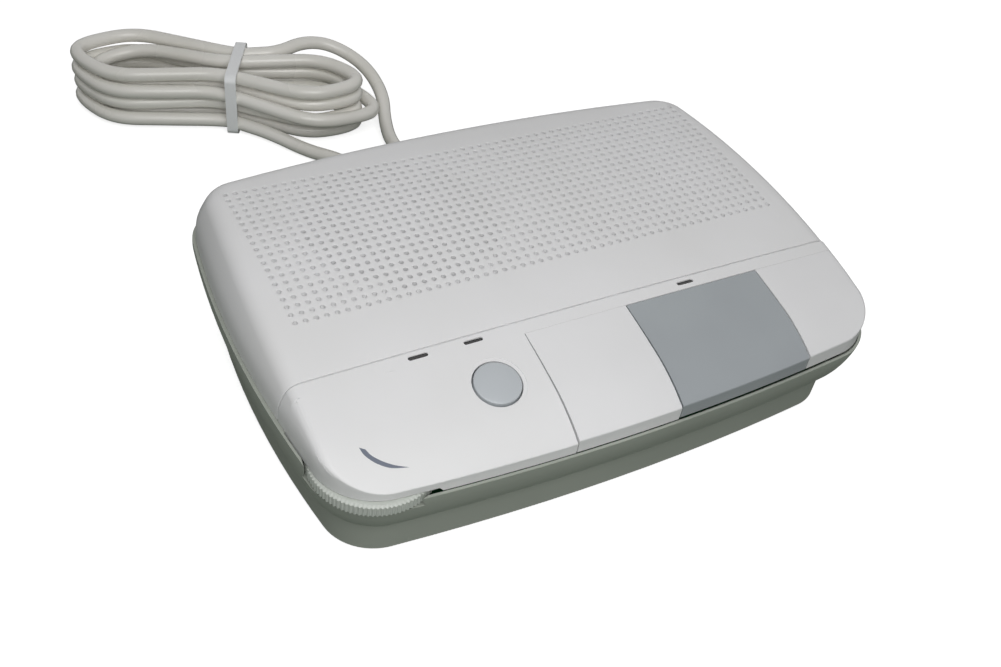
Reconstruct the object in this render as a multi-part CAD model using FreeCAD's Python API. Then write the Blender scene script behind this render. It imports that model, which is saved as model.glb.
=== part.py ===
import FreeCAD, Part
import math
import os

# Desk intercom for a phone line: a low wedge-shaped case of two shells and a control bezel, with three
# hinged keys, a round hold button, a thumbwheel for the volume, and a tied hank of cord behind it.
# Row frame: +Z up, front towards -Y, origin on the table under the middle of the case. Millimetres.
# The case is drawn level, in a case frame whose z = 0 is the parting plane, and then tipped by the wedge.

V = FreeCAD.Vector

# Case plan, measured at the lip round the parting plane
CASE_WIDTH = 171.5
CASE_DEPTH = 121.7
FRONT_BOW_R = 688.0
BACK_BOW_R = 532.0
SIDE_BOW_R = 300.0
FRONT_CORNER_R = 17.7
BACK_CORNER_R = 14.8

# Case height and tilt
WEDGE_DEG = 3.0
PARTING_HEIGHT = 29.8
LID_RISE = 14.3
CROWN_R = 327.4
CROWN_APEX_Y = 17.9
FRONT_ROLL_R = 44.7
FRONT_ROLL_Y = -45.0
FOOT_PROUD = 1.0

# Walls, seams and clearances
WALL = 2.2
KEY_EDGE_INSET = 1.0
SHOULDER_BLEND_R = 3.0
SEAM = 0.15
MOVING_GAP = 0.3
PIN_CLEARANCE = 0.05
LIP_DROP = 1.6
SKIRT_DROP = 0.9

# Height above the parting plane and inset of the moulded shoulder round the sides and back
SHOULDER = [(-3.0, 1.0), (2.0, 1.0), (5.0, 1.35), (7.0, 2.0), (8.8, 2.85), (11.5, 4.3), (16.0, 7.0)]
SHOULDER_CORNER_SHARE = 1.2

# Lower case: rolled under the lip to a crease, then a plinth wall down to the table
CREASE_INSET = 5.8
CREASE_DROP = 17.3
ROLL = [(0.0, 0.0), (-3.5, 0.1), (-7.5, 0.9), (-11.5, 2.3), (-14.8, 4.1), (-17.3, 5.8)]
ROLL_CORNER_SHARE = 0.6
PLINTH_DEPTH = 24.0

# Groove, light strip and key split lines
GROOVE_Y = -25.4
GROOVE_WIDTH = 0.8
GROOVE_DEPTH = 0.7
KEY_BACK_Y = -29.4
PANEL_RIGHT_X = -20.6
LOCK_TALK_X = 9.9
TALK_CALL_X = 52.8
PANEL_STEP = 0.5
LIGHT_X = (-48.9, -33.9, 30.3)
LIGHT_LENGTH = 5.3
LIGHT_WIDTH = 1.2

# Speaker grille
HOLE_PITCH = 2.75
HOLE_R = 0.64
GRILLE_ROWS = 20
GRILLE_COLUMNS = 54
SPEAKER_COLUMN = 14.5
SPEAKER_ROW = 10.0
OPEN_RADIUS_PITCHES = 9.7
HOLE_SIDES = 6

# Keys and their hinge rod
KEY_WALL = 2.0
KEY_TRAVEL_DEG = 3.0
ROD_R = 1.25
ROD_Y = -31.0
ROD_Z = 5.0
LUG_R = 2.7
LUG_WIDTH = 2.5
EAR_WIDTH = 2.0
EAR_UNDER_CROWN = 2.9
EAR_BOTTOM = ROD_Z - 2.5
KEY_RIB_Y = -45.0

# Hold button
HOLD_X = -33.7
HOLD_Y = -40.6
HOLD_R = 6.15
HOLD_TRAVEL = 1.5
HOLD_PROUD = 0.9
HOLD_DISH_R = 7.4
HOLD_DISH_DEPTH = 0.35

# Volume thumbwheel
WHEEL_X = -66.0
WHEEL_Y = -42.0
WHEEL_R = 16.2
WHEEL_BOTTOM = -4.9
WHEEL_THICKNESS = 3.7
WHEEL_CLEARANCE = 0.8
WHEEL_SHAFT_R = 3.0

# Boards
BOARD_THICKNESS = 1.6
SWITCH_BOARD_TOP = -8.6
MAIN_BOARD_TOP = -12.0

# Cord
CORD_D = 4.8
CORD_EXIT_X = 22.0
CORD_EXIT_Z = 9.0
RELIEF_LENGTH = 14.0
TIE_THICKNESS = 0.8

# Hank: where it lies, its plan and its layers
HANK_X = -37.0
HANK_Y = 156.5
HANK_DEG = -31.0
HANK_LOBE_R = 17.6
HANK_LOBE_U = 33.5
HANK_WAIST = 8.85
HANK_STEP = 6.2
HANK_WAIST_STEP = 6.2
HANK_LAYER = 5.4
HANK_TURNS = 5.5
HANK_FLARE_DEG = 20.0
HANK_END_U = 9.0
HANK_CLIMB_SHARE = 0.42
HANK_CLIMB_SLOPE = 0.13
HANK_WAIST_U = 0.4


# Small helpers

def unit(vector):
    return vector / vector.Length


def slab(x0, x1, y0, y1, z0, z1):
    return Part.makeBox(x1 - x0, y1 - y0, z1 - z0, V(x0, y0, z0))


def post(x, y, z0, z1, radius):
    return Part.makeCylinder(radius, z1 - z0, V(x, y, z0))


def fuse_all(shapes):
    whole = shapes[0]
    for shape in shapes[1:]:
        whole = whole.fuse(shape)
    return whole.removeSplitter()


def tip(shape):
    tipped = shape.copy()
    tipped.rotate(V(0, 0, 0), V(1, 0, 0), WEDGE_DEG)
    tipped.translate(V(0, 0, PARTING_HEIGHT))
    return tipped


def untip(shape):
    level = shape.copy()
    level.translate(V(0, 0, -PARTING_HEIGHT))
    level.rotate(V(0, 0, 0), V(1, 0, 0), -WEDGE_DEG)
    return level


def prism_x(points, x0, x1):
    corners = [V(x0, y, z) for y, z in points]
    face = Part.Face(Part.makePolygon(corners + [corners[0]]))
    return face.extrude(V(x1 - x0, 0, 0))


# Case outline: four bowed sides joined by tangent corner arcs

def circle_meet(centre_a, radius_a, centre_b, radius_b, towards):
    span = centre_b - centre_a
    along = (radius_a ** 2 - radius_b ** 2 + span.Length ** 2) / (2 * span.Length)
    rise = math.sqrt(radius_a ** 2 - along ** 2)
    axis = unit(span)
    across = V(-axis.y, axis.x, 0)
    if across.dot(towards) < 0:
        across = across * -1
    return centre_a + axis * along + across * rise


def outline(side, front, back, tighter, z):
    half_w = CASE_WIDTH / 2
    half_d = CASE_DEPTH / 2
    bows = [
        (V(0, FRONT_BOW_R - half_d, 0), FRONT_BOW_R - front, V(0, -1, 0)),
        (V(half_w - SIDE_BOW_R, 0, 0), SIDE_BOW_R - side, V(1, 0, 0)),
        (V(0, half_d - BACK_BOW_R, 0), BACK_BOW_R - back, V(0, 1, 0)),
        (V(SIDE_BOW_R - half_w, 0, 0), SIDE_BOW_R - side, V(-1, 0, 0)),
    ]
    corner_radii = [FRONT_CORNER_R, BACK_CORNER_R, BACK_CORNER_R, FRONT_CORNER_R]
    corners = []
    for index, (centre, radius, facing) in enumerate(bows):
        next_centre, next_radius, next_facing = bows[(index + 1) % 4]
        corner = corner_radii[index] - tighter
        towards = facing + next_facing
        middle = circle_meet(centre, radius - corner, next_centre, next_radius - corner, towards)
        first = unit(middle - centre)
        last = unit(middle - next_centre)
        corners.append((centre + first * radius, middle + unit(first + last) * corner,
                        next_centre + last * next_radius))
    edges = []
    for index, (centre, radius, facing) in enumerate(bows):
        start = corners[index - 1][2]
        end = corners[index][0]
        edges.append(Part.Arc(start, centre + facing * radius, end).toShape())
        edges.append(Part.Arc(*corners[index]).toShape())
    wire = Part.Wire(edges)
    wire.translate(V(0, 0, z))
    return wire


def loft_levels(levels):
    return Part.makeLoft([outline(*level) for level in levels], True)


def shoulder_body(offset):
    levels = []
    for z, inset in SHOULDER:
        side = inset + offset
        front = KEY_EDGE_INSET + offset
        levels.append((side, front, side, front + SHOULDER_CORNER_SHARE * (inset - KEY_EDGE_INSET), z))
    return loft_levels(levels)


# Crowned top: one profile with a long crown arc and a tangent front roll, turned about the front bow's axis

def roll_start_direction():
    forward = FRONT_ROLL_Y - CROWN_APEX_Y
    return unit(V(0, forward, math.sqrt(CROWN_R ** 2 - forward ** 2)))


def crown_body(drop):
    crown_centre = V(0, CROWN_APEX_Y, LID_RISE - CROWN_R)
    crown_r = CROWN_R - drop

    def on_crown(y):
        return V(0, y, crown_centre.z + math.sqrt(crown_r ** 2 - (y - CROWN_APEX_Y) ** 2))

    start_dir = roll_start_direction()
    roll_start = crown_centre + start_dir * crown_r
    roll_centre = crown_centre + start_dir * (CROWN_R - FRONT_ROLL_R)
    roll_r = FRONT_ROLL_R - drop
    roll_start_deg = math.degrees(math.atan2(start_dir.z, start_dir.y))

    def on_roll(degrees):
        angle = math.radians(roll_start_deg + degrees)
        return roll_centre + V(0, math.cos(angle), math.sin(angle)) * roll_r

    back = on_crown(CASE_DEPTH / 2 + 6)
    front = on_roll(28)
    floor_z = -4.0
    edges = [
        Part.Arc(back, on_crown(CROWN_APEX_Y - 10), roll_start).toShape(),
        Part.Arc(roll_start, on_roll(14), front).toShape(),
        Part.LineSegment(front, V(0, front.y, floor_z)).toShape(),
        Part.LineSegment(V(0, front.y, floor_z), V(0, back.y, floor_z)).toShape(),
        Part.LineSegment(V(0, back.y, floor_z), back).toShape(),
    ]
    face = Part.Face(Part.Wire(edges))
    axis_point = V(0, FRONT_BOW_R - CASE_DEPTH / 2, 0)
    half_turn = 9.5
    face.rotate(axis_point, V(0, 0, 1), -half_turn)
    return face.revolve(axis_point, V(0, 0, 1), 2 * half_turn)


def top_form():
    body = shoulder_body(0).common(crown_body(0))
    rim = []
    for edge in body.Edges:
        faces = body.ancestorsOfType(edge, Part.Face)
        kinds = {type(face.Surface).__name__ for face in faces}
        middle = edge.CenterOfMass
        if len(kinds) == 2 and middle.z > 4 and middle.y > -55:
            rim.append(edge)
    return body.makeFillet(SHOULDER_BLEND_R, rim)


def height_at(y):
    if y < FRONT_ROLL_Y:
        centre = V(0, CROWN_APEX_Y, LID_RISE - CROWN_R) + roll_start_direction() * (CROWN_R - FRONT_ROLL_R)
        return centre.z + math.sqrt(FRONT_ROLL_R ** 2 - (y - centre.y) ** 2)
    return LID_RISE - CROWN_R + math.sqrt(CROWN_R ** 2 - (y - CROWN_APEX_Y) ** 2)


def crown_at(x, y):
    axis_y = FRONT_BOW_R - CASE_DEPTH / 2
    return height_at(axis_y - math.hypot(x, axis_y - y))


def slope_at(y):
    return math.degrees(math.asin((CROWN_APEX_Y - y) / CROWN_R))


UPPER = top_form()
UPPER_INSIDE = shoulder_body(WALL).common(crown_body(WALL))
UPPER_GROOVE = shoulder_body(GROOVE_DEPTH).common(crown_body(GROOVE_DEPTH))
UPPER_SHELL = UPPER.cut(UPPER_INSIDE)

HALF_W = CASE_WIDTH / 2
HALF_D = CASE_DEPTH / 2
REACH = 100.0


def groove_cutter():
    half = GROOVE_WIDTH / 2
    return slab(-REACH, REACH, GROOVE_Y - half, GROOVE_Y + half, SEAM - 1, REACH).cut(UPPER_GROOVE)


# Top case: crowned shell with the grille, a speaker seat and four screw bosses

CASE_SCREWS = [(-66.0, 44.0), (66.0, 44.0), (-66.0, -14.0), (66.0, -14.0)]
CASE_SCREW_R = 1.5
CASE_BOSS_R = 3.6
CASE_BOSS_BOTTOM = -2.0
BEZEL_SCREWS = [(-60.0, -20.5), (-22.0, -20.5), (22.0, -20.5), (63.0, -20.5)]
BEZEL_SCREW_R = 1.0
BEZEL_BOSS_R = 2.4
TAB_TOP = 6.0
TAB_THICKNESS = 2.0
TAB_HALF_WIDTH = 3.4
TAB_END = 2.6
SPEAKER_X = (SPEAKER_COLUMN - (GRILLE_COLUMNS - 1) / 2) * HOLE_PITCH
SPEAKER_Y = CROWN_APEX_Y + (SPEAKER_ROW - (GRILLE_ROWS - 1) / 2) * HOLE_PITCH
SPEAKER_R = 28.5
SPEAKER_SEAT_Z = 9.6
CLAMP_RADIUS = SPEAKER_R + 3.6
CLAMP_DEGREES = (30.0, 150.0, 270.0)


def clamp_centres():
    places = []
    for degrees in CLAMP_DEGREES:
        angle = math.radians(degrees)
        places.append((SPEAKER_X + CLAMP_RADIUS * math.cos(angle), SPEAKER_Y + CLAMP_RADIUS * math.sin(angle)))
    return places


def grille_cutters():
    cutters = []
    for column in range(GRILLE_COLUMNS):
        for row in range(GRILLE_ROWS):
            if math.hypot(column - SPEAKER_COLUMN, row - SPEAKER_ROW) > OPEN_RADIUS_PITCHES:
                continue
            x = (column - (GRILLE_COLUMNS - 1) / 2) * HOLE_PITCH
            y = CROWN_APEX_Y + (row - (GRILLE_ROWS - 1) / 2) * HOLE_PITCH
            corners = []
            for side in range(HOLE_SIDES):
                angle = 2 * math.pi * side / HOLE_SIDES
                corners.append(V(x + HOLE_R * math.cos(angle), y + HOLE_R * math.sin(angle), SPEAKER_SEAT_Z))
            face = Part.Face(Part.makePolygon(corners + [corners[0]]))
            cutters.append(face.extrude(V(0, 0, LID_RISE + 2 - SPEAKER_SEAT_Z)))
    return Part.makeCompound(cutters)


def make_top_case():
    front = GROOVE_Y + SEAM / 2
    shell = UPPER_SHELL.common(slab(-REACH, REACH, front, REACH, SEAM, REACH))
    inside = UPPER_GROOVE.common(slab(-REACH, REACH, front + 1, REACH, CASE_BOSS_BOTTOM, REACH))
    seat = post(SPEAKER_X, SPEAKER_Y, SPEAKER_SEAT_Z, REACH, SPEAKER_R).cut(
        post(SPEAKER_X, SPEAKER_Y, SPEAKER_SEAT_Z, REACH, SPEAKER_R - 1.6))
    bosses = [seat]
    holes = []
    for x, y in CASE_SCREWS:
        bosses.append(post(x, y, CASE_BOSS_BOTTOM, REACH, CASE_BOSS_R))
        holes.append(post(x, y, CASE_BOSS_BOTTOM - 1, 6.0, CASE_SCREW_R + PIN_CLEARANCE))
    for x, y in BEZEL_SCREWS:
        bosses.append(post(x, y, TAB_TOP, REACH, BEZEL_BOSS_R))
        holes.append(post(x, y, TAB_TOP - 1, 9.4, BEZEL_SCREW_R + PIN_CLEARANCE))
    for x, y in clamp_centres():
        bosses.append(post(x, y, SPEAKER_SEAT_Z - 0.8, REACH, 2.2))
        holes.append(post(x, y, SPEAKER_SEAT_Z - 2, SPEAKER_SEAT_Z + 2.2, BEZEL_SCREW_R + PIN_CLEARANCE))
    for boss in bosses:
        shell = shell.fuse(boss.common(inside))
    for hole in holes:
        shell = shell.cut(hole)
    shell = shell.cut(groove_cutter())
    return shell.cut(grille_cutters())


# Control bezel: light strip, raised control panel, screw tabs and the ears that hold the hinge rod

LUGS = {"lock": (-16.0, 3.0), "talk": (14.0, 46.0), "call": (56.5, 70.0)}
EARS = (-12.9, 0.4, 17.1, 43.4, 59.6, 67.4)
ROD_START = -17.0
ROD_END = 73.5
SKIRT_BOTTOM = -SKIRT_DROP


def light_slot(x, length, width, z0, z1):
    y = (GROOVE_Y + KEY_BACK_Y) / 2
    half = (length - width) / 2
    ends = [post(x - half, y, z0, z1, width / 2), post(x + half, y, z0, z1, width / 2)]
    return fuse_all([slab(x - half, x + half, y - width / 2, y + width / 2, z0, z1)] + ends)


def hold_axis_place(shape):
    placed = shape.copy()
    placed.rotate(V(0, 0, 0), V(1, 0, 0), slope_at(HOLD_Y))
    placed.translate(V(HOLD_X, HOLD_Y, height_at(HOLD_Y) + PANEL_STEP))
    return placed


def make_control_bezel():
    back = GROOVE_Y - SEAM / 2
    strip = UPPER_SHELL.common(slab(-REACH, REACH, KEY_BACK_Y, back, SEAM, REACH))
    raised = UPPER.copy()
    raised.translate(V(0, 0, PANEL_STEP))
    panel_region = slab(-REACH, PANEL_RIGHT_X, -REACH, KEY_BACK_Y, SKIRT_BOTTOM, REACH)
    hollow = UPPER_INSIDE.common(slab(-REACH, PANEL_RIGHT_X - 1.5, -REACH, REACH, -REACH, REACH))
    panel = raised.common(panel_region).cut(hollow)
    bezel = strip.fuse(panel)
    for x, y in BEZEL_SCREWS:
        left = x - TAB_HALF_WIDTH
        right = x + TAB_HALF_WIDTH
        tab = slab(left, right, back - 4, y + TAB_END, TAB_TOP - TAB_THICKNESS, TAB_TOP)
        web = slab(left, right, KEY_BACK_Y + 0.6, back - 0.4, TAB_TOP - TAB_THICKNESS, REACH)
        bezel = bezel.fuse(tab).fuse(web.common(UPPER_GROOVE))
        bezel = bezel.cut(post(x, y, 0, TAB_TOP + 1, BEZEL_SCREW_R + 0.15))
    ear_limit = crown_body(EAR_UNDER_CROWN)
    for x in EARS:
        root_y = KEY_BACK_Y + 0.2
        arm_y = KEY_BACK_Y + 0.4
        tip_y = ROD_Y - 2.2
        root = [(root_y, 9.8), (GROOVE_Y - 0.6, 9.8), (GROOVE_Y - 0.6, 5.0), (root_y, EAR_BOTTOM)]
        arm = [(arm_y, EAR_BOTTOM), (tip_y, EAR_BOTTOM), (tip_y, 9.8), (arm_y, 9.8)]
        bezel = bezel.fuse(prism_x(root, x, x + EAR_WIDTH).common(UPPER_GROOVE))
        bezel = bezel.fuse(prism_x(arm, x, x + EAR_WIDTH).common(ear_limit))
        bezel = bezel.cut(Part.makeCylinder(ROD_R + 0.02, EAR_WIDTH + 2, V(x - 1, ROD_Y, ROD_Z), V(1, 0, 0)))
    for x in LIGHT_X:
        bezel = bezel.cut(light_slot(x, LIGHT_LENGTH, LIGHT_WIDTH, 0, REACH))
    dish = hold_axis_place(post(0, 0, -HOLD_DISH_DEPTH, 3, HOLD_DISH_R))
    bore = hold_axis_place(post(0, 0, -6, 3, HOLD_R + MOVING_GAP))
    return bezel.cut(dish).cut(bore).cut(groove_cutter())


# Keys: a moulded cap with a front skirt, side webs, a switch rib and two hinge lugs

def key_outer():
    return UPPER.common(slab(-REACH, REACH, -REACH, KEY_BACK_Y - MOVING_GAP, SKIRT_BOTTOM, REACH))


def make_key(x0, x1, lugs):
    outer = key_outer().common(slab(x0, x1, -REACH, REACH, -REACH, REACH))
    web = 1.2
    open_right = x1 if x1 > HALF_W else x1 - web
    cavity = UPPER_INSIDE.common(slab(x0 + web, open_right, -REACH, REACH, -REACH, REACH))
    back_room = UPPER_INSIDE.common(slab(x0 - 1, x1 + 1, KEY_BACK_Y - 5.5, REACH, -REACH, REACH))
    low_room = slab(x0 - 1, min(x1, HALF_W - 8), -HALF_D + 6, REACH, -REACH, 0.5)
    key = outer.cut(cavity).cut(back_room).cut(low_room)
    hinge = V(1, 0, 0)
    for x in lugs:
        barrel = Part.makeCylinder(LUG_R, LUG_WIDTH, V(x, ROD_Y, ROD_Z), hinge)
        arm = slab(x, x + LUG_WIDTH, ROD_Y - LUG_R, ROD_Y, ROD_Z, REACH).common(UPPER_GROOVE)
        key = key.fuse(barrel).fuse(arm)
        key = key.cut(Part.makeCylinder(ROD_R + PIN_CLEARANCE, LUG_WIDTH + 2, V(x - 1, ROD_Y, ROD_Z), hinge))
    middle = (lugs[0] + lugs[1] + LUG_WIDTH) / 2
    rib = slab(middle - 3, middle + 3, KEY_RIB_Y - 1, KEY_RIB_Y + 1, rib_bottom(), REACH)
    key = key.fuse(rib.common(UPPER_GROOVE))
    if x1 > HALF_W:
        key = key.cut(slab(HALF_W - 12, REACH, KEY_BACK_Y - 1.0, REACH, -REACH, ROD_Z))
    return key.removeSplitter()


SWITCH_SIZE = 6.0
SWITCH_HEIGHT = 3.5
PLUNGER_R = 1.75
PLUNGER_HEIGHT = 1.5
SWITCH_TOP = SWITCH_BOARD_TOP + SWITCH_HEIGHT + PLUNGER_HEIGHT


def rib_bottom():
    travel = (ROD_Y - KEY_RIB_Y + 1) * math.sin(math.radians(KEY_TRAVEL_DEG))
    return SWITCH_TOP + travel + 0.15


# Hold button: domed cap, retaining flange and stem on an axis square to the panel

def make_hold_button():
    dome_rise = 0.7
    rim_z = HOLD_PROUD - dome_rise
    dome_r = (HOLD_R ** 2 + dome_rise ** 2) / (2 * dome_rise)
    cap = post(0, 0, -3.4, HOLD_PROUD + 1, HOLD_R)
    cap = cap.common(Part.makeSphere(dome_r, V(0, 0, HOLD_PROUD - dome_r)))
    rim_edges = [edge for edge in cap.Edges if abs(edge.CenterOfMass.z - rim_z) < 0.05]
    cap = cap.makeFillet(0.35, rim_edges)
    flange = post(0, 0, -4.4, -3.4, HOLD_R + 1.2)
    stem = post(0, 0, -11.0, -4.4, 2.0)
    return hold_axis_place(fuse_all([cap, flange, stem]))


# Thumbwheel with its shaft, and the potentiometer that carries it

POT_R = 8.0
POT_TOP = WHEEL_BOTTOM - 0.5


def make_volume_wheel():
    top = WHEEL_BOTTOM + WHEEL_THICKNESS
    disc = post(WHEEL_X, WHEEL_Y, WHEEL_BOTTOM, top, WHEEL_R)
    rims = [edge for edge in disc.Edges if edge.Curve.TypeId == "Part::GeomCircle"]
    disc = disc.makeChamfer(0.35, rims)
    hub = post(WHEEL_X, WHEEL_Y, -REACH, REACH, 4.6)
    dish = post(WHEEL_X, WHEEL_Y, top - 1.4, top + 1, WHEEL_R - 3.2).cut(hub)
    shaft = post(WHEEL_X, WHEEL_Y, POT_TOP - 2.4, WHEEL_BOTTOM, WHEEL_SHAFT_R)
    slot = slab(WHEEL_X - 4.0, WHEEL_X + 4.0, WHEEL_Y - 0.4, WHEEL_Y + 0.4, top - 0.8, top + 1)
    return disc.cut(dish).fuse(shaft).cut(slot)


def make_volume_potentiometer():
    body = post(WHEEL_X, WHEEL_Y, SWITCH_BOARD_TOP, POT_TOP, POT_R)
    terminals = slab(WHEEL_X - 3.5, WHEEL_X + 3.5, WHEEL_Y + 4, WHEEL_Y + 11.0, SWITCH_BOARD_TOP,
                     SWITCH_BOARD_TOP + 1.4)
    bore = post(WHEEL_X, WHEEL_Y, POT_TOP - 2.5, REACH, WHEEL_SHAFT_R + PIN_CLEARANCE)
    return body.fuse(terminals).cut(bore)


# Lower case: rolled bowl with a lip, a plinth, screw posts, board posts and recessed feet

FOOT_R = 5.0
FOOT_RECESS = 0.8
FEET = [(-62.0, -38.0), (62.0, -38.0), (-56.0, 34.0), (56.0, 34.0)]
SWITCH_BOARD_POSTS = [(-44.0, -50.0), (0.0, -50.0), (66.0, -36.0), (-40.0, -28.0)]
MAIN_BOARD_POSTS = [(8.0, -12.0), (66.0, -2.0), (8.0, 44.0), (62.0, 30.0)]
BOARD_POST_R = 3.0
BOARD_SCREW_R = 1.1
TABLE_CUT = 40.0


def bowl(offset):
    levels = []
    for z, inset in ROLL:
        reach = inset + offset
        levels.append((reach, reach, reach, ROLL_CORNER_SHARE * inset + offset, z))
    roll = loft_levels(levels)
    reach = CREASE_INSET + offset
    tighter = ROLL_CORNER_SHARE * CREASE_INSET + offset
    base = Part.Face(outline(reach, reach, reach, tighter, -CREASE_DROP))
    return roll.fuse(base.extrude(V(0, 0, -PLINTH_DEPTH)))


def above_table(height):
    return untip(slab(-REACH, REACH, -REACH, REACH, height, REACH))


def case_floor_top():
    return FOOT_PROUD + WALL


def relief_hole(radius):
    return untip(Part.makeCylinder(radius, 30, V(CORD_EXIT_X, HALF_D - 20, CORD_EXIT_Z), V(0, 1, 0)))


def make_bottom_case():
    outer = bowl(0).common(above_table(FOOT_PROUD))
    inner = bowl(WALL).common(above_table(case_floor_top()))
    inner = inner.fuse(outline_block(WALL, -1.0, 1.0))
    case = outer.cut(inner)
    posts = []
    holes = []
    for x, y in CASE_SCREWS:
        posts.append(post(x, y, -REACH, CASE_BOSS_BOTTOM - SEAM, CASE_BOSS_R + 0.9))
        holes.append(post(x, y, -REACH, 1, CASE_SCREW_R + 0.2))
        holes.append(post(x, y, -REACH, CASE_HEAD_TOP, CASE_HEAD_R + 0.3))
    for x, y in SWITCH_BOARD_POSTS:
        posts.append(post(x, y, -REACH, SWITCH_BOARD_TOP - BOARD_THICKNESS, BOARD_POST_R))
    for x, y in MAIN_BOARD_POSTS:
        posts.append(post(x, y, -REACH, MAIN_BOARD_TOP - BOARD_THICKNESS, BOARD_POST_R))
    for piece in posts:
        case = case.fuse(piece.common(outer))
    for x, y in SWITCH_BOARD_POSTS:
        holes.append(post(x, y, SWITCH_BOARD_TOP - 9, 1, BOARD_SCREW_R + PIN_CLEARANCE))
    for x, y in MAIN_BOARD_POSTS:
        holes.append(post(x, y, MAIN_BOARD_TOP - 9, 1, BOARD_SCREW_R + PIN_CLEARANCE))
    for hole in holes:
        case = case.cut(hole)
    for x, y in FEET:
        case = case.cut(untip(post(x, y, 0, FOOT_PROUD + FOOT_RECESS, FOOT_R + 0.3)))
    key_pocket = outline_block(0, -6.0, 1.0, KEY_EDGE_INSET - MOVING_GAP)
    case = case.cut(key_pocket.common(slab(-REACH, REACH, -REACH, KEY_BACK_Y, -4.5, 1)))
    case = case.cut(slab(PANEL_RIGHT_X - 40, REACH, -REACH, KEY_BACK_Y, -LIP_DROP, 1))
    case = case.cut(post(WHEEL_X, WHEEL_Y, WHEEL_BOTTOM - MOVING_GAP, 1, WHEEL_R + WHEEL_CLEARANCE))
    return case.cut(relief_hole(RELIEF_NECK_R))


def outline_block(inset, z0, z1, extra=0.0):
    reach = inset + extra
    face = Part.Face(outline(reach, reach, reach, reach, z0))
    return face.extrude(V(0, 0, z1 - z0))


# Screws and feet

CASE_HEAD_R = 2.8
CASE_HEAD_TOP = -8.0
CASE_HEAD_HEIGHT = 2.0


def screw(x, y, head_z, height, head_r, shank_r, tip_z, head_below):
    head_end = head_z - height if head_below else head_z + height
    head = post(x, y, min(head_z, head_end), max(head_z, head_end), head_r)
    shank = post(x, y, min(head_z, tip_z), max(head_z, tip_z), shank_r)
    cross = 0.25 * head_r
    depth = 0.5 * height
    cut_z0, cut_z1 = (head_end, head_end + depth) if head_below else (head_end - depth, head_end)
    drive = slab(x - cross, x + cross, y - 0.7 * head_r, y + 0.7 * head_r, cut_z0, cut_z1).fuse(
        slab(x - 0.7 * head_r, x + 0.7 * head_r, y - cross, y + cross, cut_z0, cut_z1))
    return head.fuse(shank).cut(drive)


def make_case_screws():
    return [screw(x, y, CASE_HEAD_TOP, CASE_HEAD_HEIGHT, CASE_HEAD_R, CASE_SCREW_R, 5.0, True)
            for x, y in CASE_SCREWS]


def make_bezel_screws():
    return [screw(x, y, TAB_TOP - TAB_THICKNESS, 1.2, 1.9, BEZEL_SCREW_R, 9.0, True)
            for x, y in BEZEL_SCREWS]


def make_board_screws():
    screws = []
    for top, places in ((SWITCH_BOARD_TOP, SWITCH_BOARD_POSTS), (MAIN_BOARD_TOP, MAIN_BOARD_POSTS)):
        for x, y in places:
            screws.append(screw(x, y, top, 1.4, 2.2, BOARD_SCREW_R, top - 7.5, False))
    return screws


def make_rubber_feet():
    feet = []
    for x, y in FEET:
        foot = post(x, y, 0, FOOT_PROUD + FOOT_RECESS, FOOT_R)
        rims = [edge for edge in foot.Edges if edge.Curve.TypeId == "Part::GeomCircle"]
        low_rim = [edge for edge in rims if edge.CenterOfMass.z < 0.01]
        feet.append(untip(foot.makeFillet(0.4, low_rim)))
    return feet


# Boards and what they carry

SWITCHES = {"lock": LUGS["lock"], "talk": LUGS["talk"], "call": LUGS["call"]}


def switch_board_outline():
    return [(-80.0, -36.0), (-68.0, -57.0), (-60.0, -57.5), (64.0, -57.5), (76.5, -46.0), (76.5, -24.0),
            (-76.0, -24.0)]


def make_switch_board():
    points = [V(x, y, SWITCH_BOARD_TOP - BOARD_THICKNESS) for x, y in switch_board_outline()]
    board = Part.Face(Part.makePolygon(points + [points[0]])).extrude(V(0, 0, BOARD_THICKNESS))
    limit = bowl(WALL + 0.6)
    board = board.common(limit)
    for x, y in SWITCH_BOARD_POSTS:
        board = board.cut(post(x, y, -REACH, REACH, BOARD_SCREW_R + 0.2))
    return board


def switch_at(x, y):
    body = slab(x - SWITCH_SIZE / 2, x + SWITCH_SIZE / 2, y - SWITCH_SIZE / 2, y + SWITCH_SIZE / 2,
                SWITCH_BOARD_TOP, SWITCH_BOARD_TOP + SWITCH_HEIGHT)
    return body.fuse(post(x, y, SWITCH_BOARD_TOP + SWITCH_HEIGHT - 0.1, SWITCH_TOP, PLUNGER_R))


def hold_stem_end():
    end = V(0, 0, -11.0)
    tilt = FreeCAD.Rotation(V(1, 0, 0), slope_at(HOLD_Y))
    return V(HOLD_X, HOLD_Y, height_at(HOLD_Y) + PANEL_STEP) + tilt.multVec(end)


def make_key_switches():
    switches = [switch_at((lugs[0] + lugs[1] + LUG_WIDTH) / 2, KEY_RIB_Y) for lugs in SWITCHES.values()]
    end = hold_stem_end()
    switches.append(post(end.x, end.y, SWITCH_BOARD_TOP, end.z - HOLD_TRAVEL - 0.6, 3.0))
    return switches


def make_indicator_lenses():
    lenses = []
    y = (GROOVE_Y + KEY_BACK_Y) / 2
    top = height_at(y)
    for x in LIGHT_X:
        window = light_slot(x, LIGHT_LENGTH - 0.1, LIGHT_WIDTH - 0.1, top - 3.4, top - 0.4)
        flange = slab(x - 3.2, x + 3.2, y - 1.0, y + 1.0, top - 4.6, top - 3.4)
        lenses.append(window.fuse(flange))
    return lenses


LED_R = 1.4
LED_LENGTH = 5.0


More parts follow.
